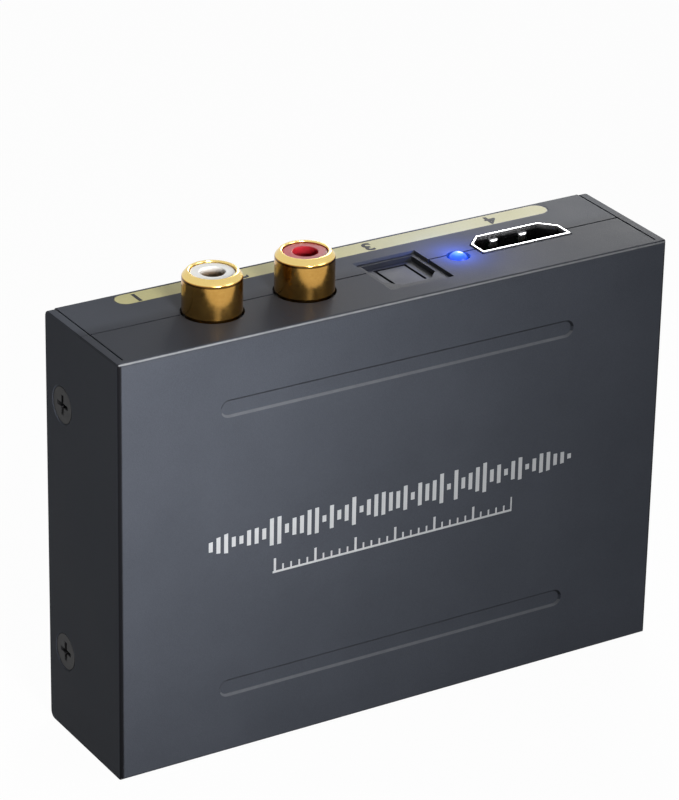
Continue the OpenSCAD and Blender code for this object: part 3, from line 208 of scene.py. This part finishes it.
def lay_over(tree, mask, colour):
    """Another colour laid over the base colour where the mask is 1."""
    shade = tree.nodes["Principled BSDF"].inputs["Base Color"]
    layer = tree.nodes.new("ShaderNodeMix")
    layer.data_type = "RGBA"
    layer.inputs["B"].default_value = (*colour, 1)
    wires(tree, (mask, layer.inputs["Factor"]), (shade.links[0].from_socket, layer.inputs["A"]))
    tree.links.new(layer.outputs["Result"], shade)


def make_grain():
    """Fine grain and slow patches in a moulded, coated or cast surface."""
    group = bpy.data.node_groups.new("surface_grain", "ShaderNodeTree")
    for name, kind, value in (
        ("Dark", "NodeSocketColor", (0.1, 0.1, 0.1, 1)),
        ("Light", "NodeSocketColor", (0.2, 0.2, 0.2, 1)),
        ("Grains per metre", "NodeSocketFloat", 4000),
        ("Patches per metre", "NodeSocketFloat", 60),
        ("Smoothest", "NodeSocketFloat", 0.4),
        ("Roughest", "NodeSocketFloat", 0.6),
    ):
        group.interface.new_socket(name=name, in_out="INPUT", socket_type=kind).default_value = value
    for name, kind in (("Colour", "NodeSocketColor"), ("Roughness", "NodeSocketFloat"),
                       ("Height", "NodeSocketFloat")):
        group.interface.new_socket(name=name, in_out="OUTPUT", socket_type=kind)
    given = group.nodes.new("NodeGroupInput")
    result = group.nodes.new("NodeGroupOutput")
    place = group.nodes.new("ShaderNodeTexCoord")
    fine = group.nodes.new("ShaderNodeTexNoise")
    fine.inputs["Detail"].default_value = 2
    slow = group.nodes.new("ShaderNodeTexNoise")
    slow.inputs["Detail"].default_value = 3
    slow.inputs["Roughness"].default_value = 0.6
    wires(group, (place.outputs["Object"], fine.inputs["Vector"]),
          (place.outputs["Object"], slow.inputs["Vector"]),
          (given.outputs["Grains per metre"], fine.inputs["Scale"]),
          (given.outputs["Patches per metre"], slow.inputs["Scale"]))
    blend = reckon(group, "ADD", reckon(group, "MULTIPLY", fine.outputs["Fac"], 0.45),
                   reckon(group, "MULTIPLY", slow.outputs["Fac"], 0.55))
    mix = group.nodes.new("ShaderNodeMix")
    mix.data_type = "RGBA"
    rough = scaled(group, blend, 0.3, 0.7, given.outputs["Smoothest"], given.outputs["Roughest"])
    wires(group, (scaled(group, blend, 0.3, 0.7), mix.inputs["Factor"]),
          (given.outputs["Dark"], mix.inputs["A"]), (given.outputs["Light"], mix.inputs["B"]),
          (mix.outputs["Result"], result.inputs["Colour"]), (rough, result.inputs["Roughness"]),
          (fine.outputs["Fac"], result.inputs["Height"]))
    return group


surface_grain = make_grain()


def finish(name, dark, light, grain, patch, smooth, rough, bump, metallic=0.0, specular=0.5):
    """A finish made of the surface grain: its dark and light colour, the sizes of its grains and
    patches in millimetres, its smoothest and roughest polish, and how far it stands out."""
    made = bpy.data.materials.new(name)
    made.use_nodes = True
    tree = made.node_tree
    shader = tree.nodes["Principled BSDF"]
    shader.inputs["Metallic"].default_value = metallic
    shader.inputs["Specular IOR Level"].default_value = specular
    grains = tree.nodes.new("ShaderNodeGroup")
    grains.node_tree = surface_grain
    grains.inputs["Dark"].default_value = (*dark, 1)
    grains.inputs["Light"].default_value = (*light, 1)
    grains.inputs["Grains per metre"].default_value = 1000 / grain
    grains.inputs["Patches per metre"].default_value = 1000 / patch
    grains.inputs["Smoothest"].default_value = smooth
    grains.inputs["Roughest"].default_value = rough
    relief = tree.nodes.new("ShaderNodeBump")
    relief.inputs["Strength"].default_value = bump
    relief.inputs["Distance"].default_value = 0.00005
    wires(tree, (grains.outputs["Colour"], shader.inputs["Base Color"]),
          (grains.outputs["Roughness"], shader.inputs["Roughness"]),
          (grains.outputs["Height"], relief.inputs["Height"]),
          (relief.outputs["Normal"], shader.inputs["Normal"]))
    return made


def dressed(node, name, edge, material, body="case", smooth=40):
    """A copy of a CAD node, which then stands for it. Its faces are welded, and edges that turn by
    more than smooth degrees are rounded by edge millimetres."""
    bpy.ops.object.select_all(action="DESELECT")
    piece = bpy.data.objects.new(name, nodes[node].data.copy())
    bpy.context.scene.collection.objects.link(piece)
    piece.select_set(True)
    bpy.context.view_layer.objects.active = piece
    bpy.ops.object.mode_set(mode="EDIT")
    bpy.ops.mesh.select_all(action="SELECT")
    bpy.ops.mesh.remove_doubles(threshold=0.000002)
    bpy.ops.mesh.dissolve_limited(angle_limit=radians(0.4))
    bpy.ops.object.mode_set(mode="OBJECT")
    if edge:
        rounding = piece.modifiers.new("edges", "BEVEL")
        rounding.width = edge / 1000
        rounding.segments = 2
        rounding.limit_method = "ANGLE"
        rounding.angle_limit = radians(smooth)
        bpy.ops.object.modifier_apply(modifier="edges")
    bpy.ops.object.shade_smooth_by_angle(angle=radians(smooth))
    piece.modifiers.new("flat_faces", "WEIGHTED_NORMAL").keep_sharp = True
    bpy.ops.object.modifier_apply(modifier="flat_faces")
    piece.data.materials.clear()
    piece.data.materials.append(material)
    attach(piece, body)
    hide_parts(node)
    return piece


case_low, case_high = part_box("cover_shell")


def make_case_edges():
    """First output: painted highlight, partly rub, on the long front folds and lower lips of the
    grooves.
    Dark: painted shade on the upright front corners, upper lips and cover's flanges, and the seam on a
    panel."""
    group = bpy.data.node_groups.new("case_edges", "ShaderNodeTree")
    for name in ("Highlight_and_rub", "Dark"):
        group.interface.new_socket(name=name, in_out="OUTPUT", socket_type="NodeSocketFloat")
    result = group.nodes.new("NodeGroupOutput")
    rub_and_highlight_noise = group.nodes.new("ShaderNodeTexNoise")
    rub_and_highlight_noise.inputs["Scale"].default_value = 900
    rub_and_highlight_noise.inputs["Detail"].default_value = 4
    place = group.nodes.new("ShaderNodeTexCoord")
    group.links.new(place.outputs["Object"], rub_and_highlight_noise.inputs["Vector"])
    x, y, z = axes_of(group)

    def near(far, reach):
        """1 up to the reach, falling to 0 at 1.7 times the reach."""
        return scaled(group, far, reach, reach * 1.7, 1, 0, curve="SMOOTHSTEP")

    fold_reach, corner_reach, panel_reach = 0.00020, 0.00034, 0.00030
    half_height = case_high.z / 2
    from_end = reckon(group, "SUBTRACT", case_high.x, reckon(group, "ABSOLUTE", x))
    from_front = reckon(group, "SUBTRACT", y, case_low.y)
    from_middle = reckon(group, "SUBTRACT", z, half_height)
    from_panel = reckon(group, "SUBTRACT", half_height, reckon(group, "ABSOLUTE", from_middle))
    on_front = near(from_front, panel_reach)
    on_panel = near(from_panel, panel_reach)
    # Painted highlight along the long front folds, and painted shade on the upright front corners.
    fold = near(reckon(group, "MAXIMUM", from_front, from_panel), fold_reach)
    corner = near(reckon(group, "MAXIMUM", from_end, from_front), corner_reach)

    # Painted shade on the cover's flange half of a panel, and the seam where the panels meet.
    seam_at, seam_reach, flange_middle, flange_reach = 0.00005, 0.00009, -0.0048, 0.0046
    seam = reckon(group, "MULTIPLY", near(apart(group, y, seam_at), seam_reach), on_panel)
    flange = reckon(group, "MULTIPLY", near(apart(group, y, flange_middle), flange_reach), on_panel)

    # A groove is a line with round ends. The lips lie where its wall begins; the upper lip gets painted
    # shade, the lower a painted highlight.
    groove_run, groove_rise, lip_at, lip_reach = 0.0272, 0.0214, 0.00118, 0.00011
    upper_from, lower_to = 0.0002, -0.0005
    past_run = reckon(group, "MAXIMUM", reckon(
        group, "SUBTRACT", reckon(group, "ABSOLUTE", x), groove_run), 0)
    rise = reckon(group, "SUBTRACT", reckon(group, "ABSOLUTE", from_middle), groove_rise)
    from_lip = apart(group, distance(group, past_run, rise), lip_at)
    lip = reckon(group, "MULTIPLY", near(from_lip, lip_reach), on_front)
    above = reckon(group, "MULTIPLY", rise, reckon(group, "SIGN", from_middle))
    upper_lip = reckon(group, "MULTIPLY", lip, reckon(group, "GREATER_THAN", above, upper_from))
    lower_lip = reckon(group, "MULTIPLY", lip, reckon(group, "LESS_THAN", above, lower_to))

    # The painted highlight, partly rub, is broken by noise; the dark mask gathers painted shade and the
    # seam.
    uneven = reckon(group, "ADD", 0.55, reckon(group, "MULTIPLY", rub_and_highlight_noise.outputs["Fac"], 0.7))
    highlight_and_rub = reckon(group, "MULTIPLY", uneven, reckon(
        group, "MAXIMUM", fold, reckon(group, "MULTIPLY", lower_lip, 0.3)))
    dark = corner
    for mask, share in ((flange, 0.4), (seam, 0.7), (upper_lip, 0.6)):
        dark = reckon(group, "MAXIMUM", dark, reckon(group, "MULTIPLY", mask, share))
    wires(group, (reckon(group, "MINIMUM", highlight_and_rub, 1), result.inputs["Highlight_and_rub"]),
          (dark, result.inputs["Dark"]))
    return group


case_edges = make_case_edges()


def case_coat(name, printed=None):
    """The powder coat with painted highlight, partly rub, on its folds, painted shade in its corners
    and, on the cover, its print.
    """
    coat = finish(name, (0.050, 0.055, 0.067), (0.064, 0.070, 0.085),
                  0.16, 14, 0.44, 0.56, 0.35, specular=0.03)
    tree = coat.node_tree
    edges = tree.nodes.new("ShaderNodeGroup")
    edges.node_tree = case_edges
    # Painted shade on the front corners, upper groove lips and flanges, with the dark panel seam.
    lay_over(tree, edges.outputs["Dark"], (0.010, 0.010, 0.012))
    # Painted highlight, partly rub, along the folds and lower groove lips.
    lay_over(tree, edges.outputs["Highlight_and_rub"], (0.24, 0.245, 0.255))
    if printed:
        lay_over(tree, printed(tree), (0.47, 0.48, 0.49))
    return coat


case_paint = case_coat("slate_powder_coat")
dressed("base_shell", "base", 0.07, case_paint)


# Cover of the case.
# One sheet folded round the front and both ends, in the same coat, with two shallow stadium grooves
# pressed into the front and a pale print between them: a row of level bars over a ruled scale.
def print_mask(tree):
    """1 where the print lies on the front face, 0 elsewhere."""
    x, y, z = axes_of(tree)

    def stepped(start, pitch):
        """How many steps of that pitch x lies past the start."""
        return reckon(tree, "DIVIDE", reckon(tree, "ADD", x, start), pitch)

    def off_step(steps):
        """How far x is from the middle of its step, as a share of the step."""
        return apart(tree, reckon(tree, "FRACT", steps), 0.5)

    # Level bars on a common centre line, of uneven height, dying away to both ends.
    bars_start, bar_pitch, bar_half_share = 0.0306, 0.0012, 0.26
    bars_middle, bars_line, bars_half_run, bars_end = -0.0006, 0.0327, 0.030, 0.034
    bar_swing, shortest, tallest = 0.0042, 0.0003, 0.0023
    steps = stepped(bars_start, bar_pitch)
    level = tree.nodes.new("ShaderNodeTexNoise")
    level.noise_dimensions = "1D"
    level.inputs["Scale"].default_value = 0.83
    level.inputs["Detail"].default_value = 1
    tree.links.new(reckon(tree, "FLOOR", steps), level.inputs["W"])
    swell = reckon(tree, "POWER", reckon(tree, "MULTIPLY", level.outputs["Fac"], 1.25), 3)
    off_middle = apart(tree, x, bars_middle)
    taper = reckon(tree, "SUBTRACT", 1, reckon(
        tree, "POWER", reckon(tree, "DIVIDE", off_middle, bars_end), 4))
    half_tall = reckon(tree, "MINIMUM", tallest, reckon(tree, "ADD", shortest, reckon(
        tree, "MULTIPLY", reckon(tree, "MULTIPLY", swell, taper), bar_swing)))
    bars = reckon(tree, "MULTIPLY", reckon(tree, "LESS_THAN", off_step(steps), bar_half_share),
                  reckon(tree, "LESS_THAN", apart(tree, z, bars_line), half_tall))
    bars = reckon(tree, "MULTIPLY", bars, reckon(tree, "LESS_THAN", off_middle, bars_half_run))

    # A ruled scale under them, with a longer tick at every fifth step.
    scale_middle, scale_line, scale_half_run, line_half = -0.0005, 0.0264, 0.0197, 0.00016
    rise = reckon(tree, "SUBTRACT", z, scale_line)
    scale = reckon(tree, "LESS_THAN", reckon(tree, "ABSOLUTE", rise), line_half)
    for start, pitch, half_share, half_tall in ((0.0205, 0.0013, 0.1, 0.0005),
                                                (0.0231, 0.0065, 0.028, 0.00105)):
        tick = reckon(tree, "MULTIPLY",
                      reckon(tree, "LESS_THAN", off_step(stepped(start, pitch)), half_share),
                      reckon(tree, "COMPARE", rise, half_tall, half_tall))
        scale = reckon(tree, "MAXIMUM", scale, tick)
    scale = reckon(tree, "MULTIPLY", scale, reckon(
        tree, "LESS_THAN", apart(tree, x, scale_middle), scale_half_run))

    on_front = reckon(tree, "LESS_THAN", y, case_low.y + 0.00005)
    return reckon(tree, "MULTIPLY", reckon(tree, "MAXIMUM", bars, scale), on_front)


cover_paint = case_coat("slate_powder_coat_printed", print_mask)
dressed("cover_shell", "cover", 0.07, cover_paint)


# Case screws.
# Countersunk cross-recess screws in black oxide, two in each end wall, threaded into the inner tabs.
screw_black = finish("black_oxide", (0.012, 0.012, 0.013), (0.022, 0.022, 0.024),
                     0.12, 2, 0.38, 0.54, 0.3, metallic=0.1, specular=0.12)
dressed("case_screws", "screws_of_case", 0.06, screw_black)


# Label strips.
# Pale gold foil labels with rounded ends and a thin dark border, stuck into a shallow pocket of
# each panel. The plain numbers by the sockets stand upright when the case lies on its back.
strip_low, strip_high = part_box("output_label_strip")
strip_middle = middle_of("output_label_strip")
strip_round = (strip_high.y - strip_low.y) / 2
strip_run = (strip_high.x - strip_low.x) / 2 - strip_round
border_width = 0.00017
foil = finish("pale_gold_foil", (0.46, 0.425, 0.19), (0.54, 0.505, 0.24),
              0.3, 9, 0.42, 0.54, 0.15, specular=0.15)
foil_tree = foil.node_tree
foil_x, foil_y = axes_of(foil_tree)[:2]
past_run = reckon(foil_tree, "MAXIMUM", reckon(
    foil_tree, "SUBTRACT", apart(foil_tree, foil_x, strip_middle.x), strip_run), 0)
off_run = distance(foil_tree, past_run, apart(foil_tree, foil_y, strip_middle.y))
lay_over(foil_tree, reckon(foil_tree, "GREATER_THAN", off_run, strip_round - border_width),
         (0.05, 0.048, 0.04))
label_print = finish("label_print", (0.018, 0.018, 0.020), (0.030, 0.030, 0.033),
                     0.1, 2, 0.5, 0.65, 0.2, specular=0.1)

# The outer face of each strip lies a hair below the panel, which leaves room for the print on it.
sunk = 0.00003
strip_faces = {"output": case_high.z, "input": case_low.z}
for panel, inward in (("output", -sunk), ("input", sunk)):
    strip = dressed(f"{panel}_label_strip", f"{panel}_strip", 0.0, foil)
    for point in strip.data.vertices:
        point.select = abs(point.co.z - strip_faces[panel]) < 0.00001
    bpy.ops.object.mode_set(mode="EDIT")
    bpy.ops.transform.translate(value=(0, 0, inward))
    bpy.ops.object.mode_set(mode="OBJECT")

# One number beside each socket, and the first two clear of the jack that stands in front of them.
for panel, digit, socket, aside in (
    ("output", "1", "phono_left_barrel", -0.0068), ("output", "2", "phono_right_barrel", -0.0050),
    ("output", "3", "optical_housing", 0), ("output", "4", "video_out_shell", 0.0002),
    ("input", "5", "inlet_housing", 0.0002), ("input", "6", "switch_frame", 0),
    ("input", "7", "video_in_shell", 0),
):
    bpy.ops.object.select_all(action="DESELECT")
    bpy.ops.object.text_add(location=(0, 0, 0))
    number = bpy.context.object
    number.data.body = digit
    number.data.size = 0.0034
    number.data.offset = 0.00010
    number.data.extrude = 0.00001
    number.data.resolution_u = 6
    number.data.align_x = "CENTER"
    number.data.align_y = "CENTER"
    bpy.ops.object.convert(target="MESH")
    number = bpy.context.object
    number.name = f"{panel}_number_{digit}"
    number.rotation_euler = (0, 0, pi) if panel == "output" else (pi, 0, 0)
    inset = -0.00002 if panel == "output" else 0.00002
    number.location = (middle_of(socket).x + aside, strip_middle.y, strip_faces[panel] + inset)
    bpy.ops.object.transform_apply(location=True, rotation=True, scale=True)
    bpy.ops.object.mode_set(mode="EDIT")
    bpy.ops.mesh.select_all(action="SELECT")
    bpy.ops.mesh.remove_doubles(threshold=0.0000005)
    bpy.ops.mesh.normals_make_consistent(inside=False)
    bpy.ops.object.mode_set(mode="OBJECT")
    number.data.materials.append(label_print)
    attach(number, "case")


# Phono jacks.
# Turned brass barrels, gold plated and polished, with a coloured insert, on moulded bodies.
gold = finish("polished_gold_plate", (0.50, 0.27, 0.062), (0.60, 0.345, 0.09),
              0.5, 3, 0.14, 0.24, 0.05, metallic=1.0)
gold_tree = gold.node_tree
gold_height = axes_of(gold_tree)[2]
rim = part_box("phono_left_barrel")[1].z
shoulder_foot, line_top, line_foot = rim - 0.00070, rim - 0.00078, rim - 0.00110
# Painted highlight: the turned shoulder is coloured paler, over a thin line of painted shade.
on_shoulder = reckon(gold_tree, "GREATER_THAN", gold_height, shoulder_foot)
on_line = reckon(gold_tree, "MULTIPLY", reckon(gold_tree, "GREATER_THAN", gold_height, line_foot),
                 reckon(gold_tree, "LESS_THAN", gold_height, line_top))
lay_over(gold_tree, on_shoulder, (0.78, 0.58, 0.21))
lay_over(gold_tree, on_line, (0.13, 0.065, 0.015))
spring_gold = finish("spring_contact_gold", (0.66, 0.52, 0.30), (0.76, 0.61, 0.37),
                     0.3, 2, 0.25, 0.38, 0.08, metallic=1.0)

white_insert = finish("white_insert", (0.78, 0.775, 0.75), (0.85, 0.845, 0.82),
                      0.4, 4, 0.30, 0.42, 0.1, specular=0.35)
white_tree = white_insert.node_tree
insert_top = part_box("phono_left_insert")[1].z
# Painted shade: below its top the insert turns beige downwards, which darkens the bore.
shade_from, shade_full = insert_top - 0.00005, insert_top - 0.00095
bore_shade = scaled(white_tree, axes_of(white_tree)[2], shade_from, shade_full)
lay_over(white_tree, bore_shade, (0.24, 0.17, 0.115))
red_insert = finish("red_insert", (0.36, 0.013, 0.022), (0.48, 0.024, 0.036),
                    0.4, 4, 0.26, 0.38, 0.1, specular=0.2)
for side, plastic, colour_slot in (("left", white_insert, "white_plastic"),
                                   ("right", red_insert, "red_plastic")):
    dressed(f"phono_{side}_barrel", f"{side}_jack_barrel", 0.16, gold, smooth=25)
    dressed(f"phono_{side}_insert", f"{side}_jack_insert", 0.12, plastic)
    dressed(f"phono_{side}_contact", f"{side}_jack_contact", 0.03, spring_gold)


# Optical socket.
# A square moulded housing with a shutter that a small spring holds shut behind the mouth.
socket_black = finish("socket_plastic", (0.016, 0.017, 0.020), (0.028, 0.030, 0.035),
                      0.1, 3, 0.46, 0.62, 0.3, specular=0.1)
dressed("optical_housing", "optical_socket_housing", 0.08, socket_black)

# The shutter's outer face is rubbed paler by plugs; painted shade darkens the groove round its middle
# panel.
shutter_black = finish("shutter_plastic", (0.034, 0.035, 0.040), (0.052, 0.054, 0.060),
                       0.1, 3, 0.46, 0.62, 0.3, specular=0.12)
shutter_tree = shutter_black.node_tree
groove_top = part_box("optical_shutter")[1].z - 0.00005
in_groove = reckon(shutter_tree, "LESS_THAN", axes_of(shutter_tree)[2], groove_top)
# Painted shade on all of the shutter below its outer face.
lay_over(shutter_tree, in_groove, (0.006, 0.006, 0.007))
dressed("optical_shutter", "optical_socket_shutter", 0.05, shutter_black,
        body="shutter")

# The spring is steel wire, and the emitter is a dark block on tinned leads at the end of the bore.
def carried(material, *names):
    """A better material in the slot of CAD nodes whose shape is right."""
    for name in names:
        nodes[name].material_slots[0].material = material


spring_steel = finish("spring_steel", (0.34, 0.34, 0.35), (0.50, 0.50, 0.51),
                      0.1, 1, 0.28, 0.42, 0.15, metallic=1.0)
tinned = finish("tinned_leads", (0.52, 0.52, 0.53), (0.68, 0.68, 0.68),
                0.2, 2, 0.3, 0.46, 0.15, metallic=1.0)
emitter_epoxy = finish("emitter_epoxy", (0.012, 0.012, 0.014), (0.026, 0.025, 0.028),
                       0.2, 2, 0.3, 0.45, 0.2)
carried(spring_steel, "optical_shutter_spring")
carried(emitter_epoxy, "optical_emitter")
carried(tinned, "optical_emitter_leads")


# Indicator lamp.
# A clear round-nosed 3 mm lamp, lit blue, through a round hole of the panel.
lamp_middle, lamp_radius = middle_of("lamp_lens"), 0.0015
lamp_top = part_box("lamp_lens")[1].z
glow = finish("lit_blue_lens", (0.002, 0.010, 0.10), (0.005, 0.020, 0.16), 0.4, 1, 0.1, 0.2, 0.05)
glow_tree = glow.node_tree
glow_x, glow_y = axes_of(glow_tree)[:2]
off_middle = distance(glow_tree, apart(glow_tree, glow_x, lamp_middle.x),
                      apart(glow_tree, glow_y, lamp_middle.y))
glow_ramp = glow_tree.nodes.new("ShaderNodeValToRGB")
glow_ramp.color_ramp.elements[0].position = 0.25
glow_ramp.color_ramp.elements[0].color = (0.22, 0.48, 1.0, 1)
glow_ramp.color_ramp.elements[1].position = 0.97
glow_ramp.color_ramp.elements[1].color = (0.002, 0.03, 0.60, 1)
glow_mid = glow_ramp.color_ramp.elements.new(0.62)
glow_mid.color = (0.02, 0.16, 0.95, 1)
wires(glow_tree, (reckon(glow_tree, "DIVIDE", off_middle, lamp_radius), glow_ramp.inputs["Fac"]),
      (glow_ramp.outputs["Color"], glow_tree.nodes["Principled BSDF"].inputs["Emission Color"]))
glow_tree.nodes["Principled BSDF"].inputs["Emission Strength"].default_value = 1.0
dressed("lamp_lens", "lamp", 0.0, glow)
carried(tinned, "lamp_leads")

# The light that it throws on the panel round it.
bpy.ops.object.select_all(action="DESELECT")
bpy.ops.object.light_add(type="POINT", location=(lamp_middle.x, lamp_middle.y, lamp_top + 0.0018))
lamp_light = bpy.context.object
lamp_light.name = "lamp_light"
lamp_light.data.color = (0.05, 0.16, 1.0)
lamp_light.data.energy = 0.006
lamp_light.data.shadow_soft_size = 0.001
lamp_light.visible_camera = False
lamp_light.visible_glossy = False


# Video sockets.
# Nickel-plated shells drawn from thin sheet round a black tongue with gold contacts.
def socket_nickel(name, mouth, inward):
    """Bright at the mouth, and darkened inside by painted shade."""
    made = finish(name, (0.66, 0.66, 0.67), (0.78, 0.78, 0.79),
                  0.4, 4, 0.22, 0.34, 0.08, metallic=1.0)
    tree = made.node_tree
    shade_start_depth, shade_full_depth = 0.0003, 0.0008
    from_mouth = reckon(tree, "SUBTRACT", axes_of(tree)[2], mouth)
    depth = reckon(tree, "MULTIPLY", from_mouth, inward)
    # Painted shade, deepening from just inside the mouth.
    lay_over(tree, scaled(tree, depth, shade_start_depth, shade_full_depth), (0.06, 0.06, 0.065))
    return made


bright_nickel = finish("bright_nickel", (0.66, 0.66, 0.67), (0.78, 0.78, 0.79),
                       0.4, 4, 0.2, 0.32, 0.08, metallic=1.0)
tongue_black = finish("tongue_plastic", (0.010, 0.010, 0.011), (0.018, 0.018, 0.020),
                      0.1, 2, 0.4, 0.55, 0.2)
latch_size = (0.0014, 0.00028, 0.0013)
latch_row, latch_depth, latch_half_gap = 0.00318, 0.0015, 0.00245
for way, mouth, inward in (("out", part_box("video_out_shell")[1].z, -1),
                           ("in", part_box("video_in_shell")[0].z, 1)):
    shell = socket_nickel(f"socket_nickel_{way}", mouth, inward)
    dressed(f"video_{way}_shell", f"video_{way}_socket_shell", 0.08, shell)
    dressed(f"video_{way}_insulator", f"video_{way}_socket_tongue", 0.05, tongue_black)
    dressed(f"video_{way}_contacts", f"video_{way}_socket_contacts", 0.0, spring_gold)
    # Two latch springs pressed inwards out of the wall next to the board.
    for side, aside in (("left", -latch_half_gap), ("right", latch_half_gap)):
        place = (middle_of(f"video_{way}_shell").x + aside, latch_row, mouth + inward * latch_depth)
        bpy.ops.object.select_all(action="DESELECT")
        bpy.ops.mesh.primitive_cube_add(size=1, location=place)
        spring = bpy.context.object
        spring.name = f"video_{way}_latch_{side}"
        spring.scale = latch_size
        bpy.ops.object.transform_apply(location=True, rotation=True, scale=True)
        bpy.ops.object.mode_set(mode="EDIT")
        bpy.ops.mesh.select_all(action="DESELECT")
        bpy.ops.object.mode_set(mode="OBJECT")
        for face in spring.data.polygons:
            face.select = face.normal.y < -0.9
        bpy.ops.object.mode_set(mode="EDIT")
        bpy.ops.mesh.select_mode(type="FACE")
        bpy.ops.mesh.inset(thickness=0.0003)
        bpy.ops.transform.translate(value=(0, -0.00014, 0))
        bpy.ops.mesh.select_all(action="SELECT")
        bpy.ops.mesh.bevel(offset=0.00006, segments=2)
        bpy.ops.object.mode_set(mode="OBJECT")
        bpy.ops.object.shade_smooth_by_angle(angle=radians(50))
        spring.data.materials.append(bright_nickel)
        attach(spring, "case")


# Power inlet.
# A black moulded block with a round well, a plated centre pin and a spring contact beside it.
inlet_black = finish("inlet_plastic", (0.014, 0.014, 0.015), (0.026, 0.026, 0.028),
                     0.1, 3, 0.4, 0.55, 0.25)
dressed("inlet_housing", "inlet_block", 0.1, inlet_black)
carried(bright_nickel, "inlet_pin")
carried(tinned, "inlet_spring_contact")


# Slide switch.
# A tinned sheet frame over a brown laminate base, with a black knob whose slider carries the wiper.
knob_black = finish("knob_plastic", (0.012, 0.012, 0.013), (0.024, 0.024, 0.026),
                    0.12, 2, 0.45, 0.6, 0.25)
laminate = finish("pressed_laminate", (0.13, 0.06, 0.022), (0.24, 0.125, 0.05),
                  0.25, 1.5, 0.55, 0.75, 0.4)
dressed("switch_frame", "switch_cover_frame", 0.06, tinned)
dressed("switch_knob", "switch_slide_knob", 0.08, knob_black, body="mode_knob")
carried(laminate, "switch_base")
carried(tinned, "switch_terminals")
carried(spring_gold, "switch_wiper")


# Bodies of the phono jacks.
# Black glass-filled blocks that hold the barrels, each with a straight tinned earth leg through the
# board.
body_black = finish("glass_filled_black", (0.012, 0.012, 0.013), (0.028, 0.028, 0.030),
                    0.08, 2, 0.5, 0.68, 0.35)
for side in ("left", "right"):
    carried(body_black, f"phono_{side}_body")
    carried(tinned, f"phono_{side}_ground_terminal")


# Circuit board.
# Green solder resist over woven glass laminate, with copper runs that show through as paler lines,
# on four brass standoffs with pan-head screws.
board_green = finish("solder_resist", (0.005, 0.052, 0.020), (0.012, 0.090, 0.036),
                     0.5, 6, 0.22, 0.36, 0.15)
green_tree = board_green.node_tree
green_place = green_tree.nodes.new("ShaderNodeTexCoord")
cells = green_tree.nodes.new("ShaderNodeTexVoronoi")
cells.distance = "CHEBYCHEV"
cells.inputs["Scale"].default_value = 230
green_tree.links.new(green_place.outputs["Object"], cells.inputs["Vector"])
# The copper runs lie side by side at an even pitch, and leave the middle of each cell free.
run_pitch, run_share, free_reach = 0.0009, 0.3, 0.36
across_run = reckon(green_tree, "FRACT", reckon(green_tree, "DIVIDE", axes_of(green_tree)[2], run_pitch))
on_run = reckon(green_tree, "LESS_THAN", across_run, run_share)
outside = reckon(green_tree, "GREATER_THAN", cells.outputs["Distance"], free_reach)
lay_over(green_tree, reckon(green_tree, "MULTIPLY", on_run, outside), (0.020, 0.15, 0.055))
carried(board_green, "main_board")
brass = finish("turned_brass", (0.55, 0.38, 0.14), (0.68, 0.49, 0.20),
               0.2, 2, 0.26, 0.4, 0.15, metallic=1.0)
carried(brass, "board_standoffs")
zinc = finish("zinc_plate", (0.46, 0.47, 0.48), (0.64, 0.65, 0.66),
              0.2, 2, 0.28, 0.44, 0.15, metallic=1.0)
carried(zinc, "board_screws")


# Chips.
# Matt black epoxy packages, soldered to the front of the board. The largest has no legs, two have
# tinned gull-wing legs, and the regulators have flat ones.
epoxy = finish("chip_epoxy", (0.014, 0.014, 0.015), (0.032, 0.032, 0.034), 0.06, 2, 0.55, 0.72, 0.3)
carried(epoxy, "main_chip", "audio_chip", "memory_chip", "regulators")
carried(tinned, "audio_chip_legs", "memory_chip_legs", "regulator_legs")


# Cans and coils.
# Drawn capacitor cans on black bases, a crystal can of the same bright sheet and a ferrite choke.
drawn_can = finish("drawn_aluminium", (0.60, 0.60, 0.61), (0.76, 0.76, 0.77),
                   0.15, 3, 0.24, 0.38, 0.12, metallic=1.0)
ferrite = finish("pressed_ferrite", (0.045, 0.045, 0.048), (0.085, 0.085, 0.088),
                 0.1, 1.5, 0.55, 0.75, 0.4)
carried(drawn_can, "capacitor_cans", "crystal_can")
carried(body_black, "capacitor_bases")
carried(ferrite, "power_inductor")


# Chip capacitors and resistors.
# Sintered tan capacitors a millimetre or two long, and resistors under a black film.
sintered = finish("sintered_tan", (0.26, 0.17, 0.095), (0.40, 0.28, 0.17), 0.08, 0.8, 0.5, 0.7, 0.3)
resistor_film = finish("resistor_film", (0.012, 0.012, 0.013), (0.034, 0.034, 0.036),
                       0.06, 0.8, 0.35, 0.5, 0.2)
carried(sintered, "chip_capacitors")
carried(resistor_film, "chip_resistors")
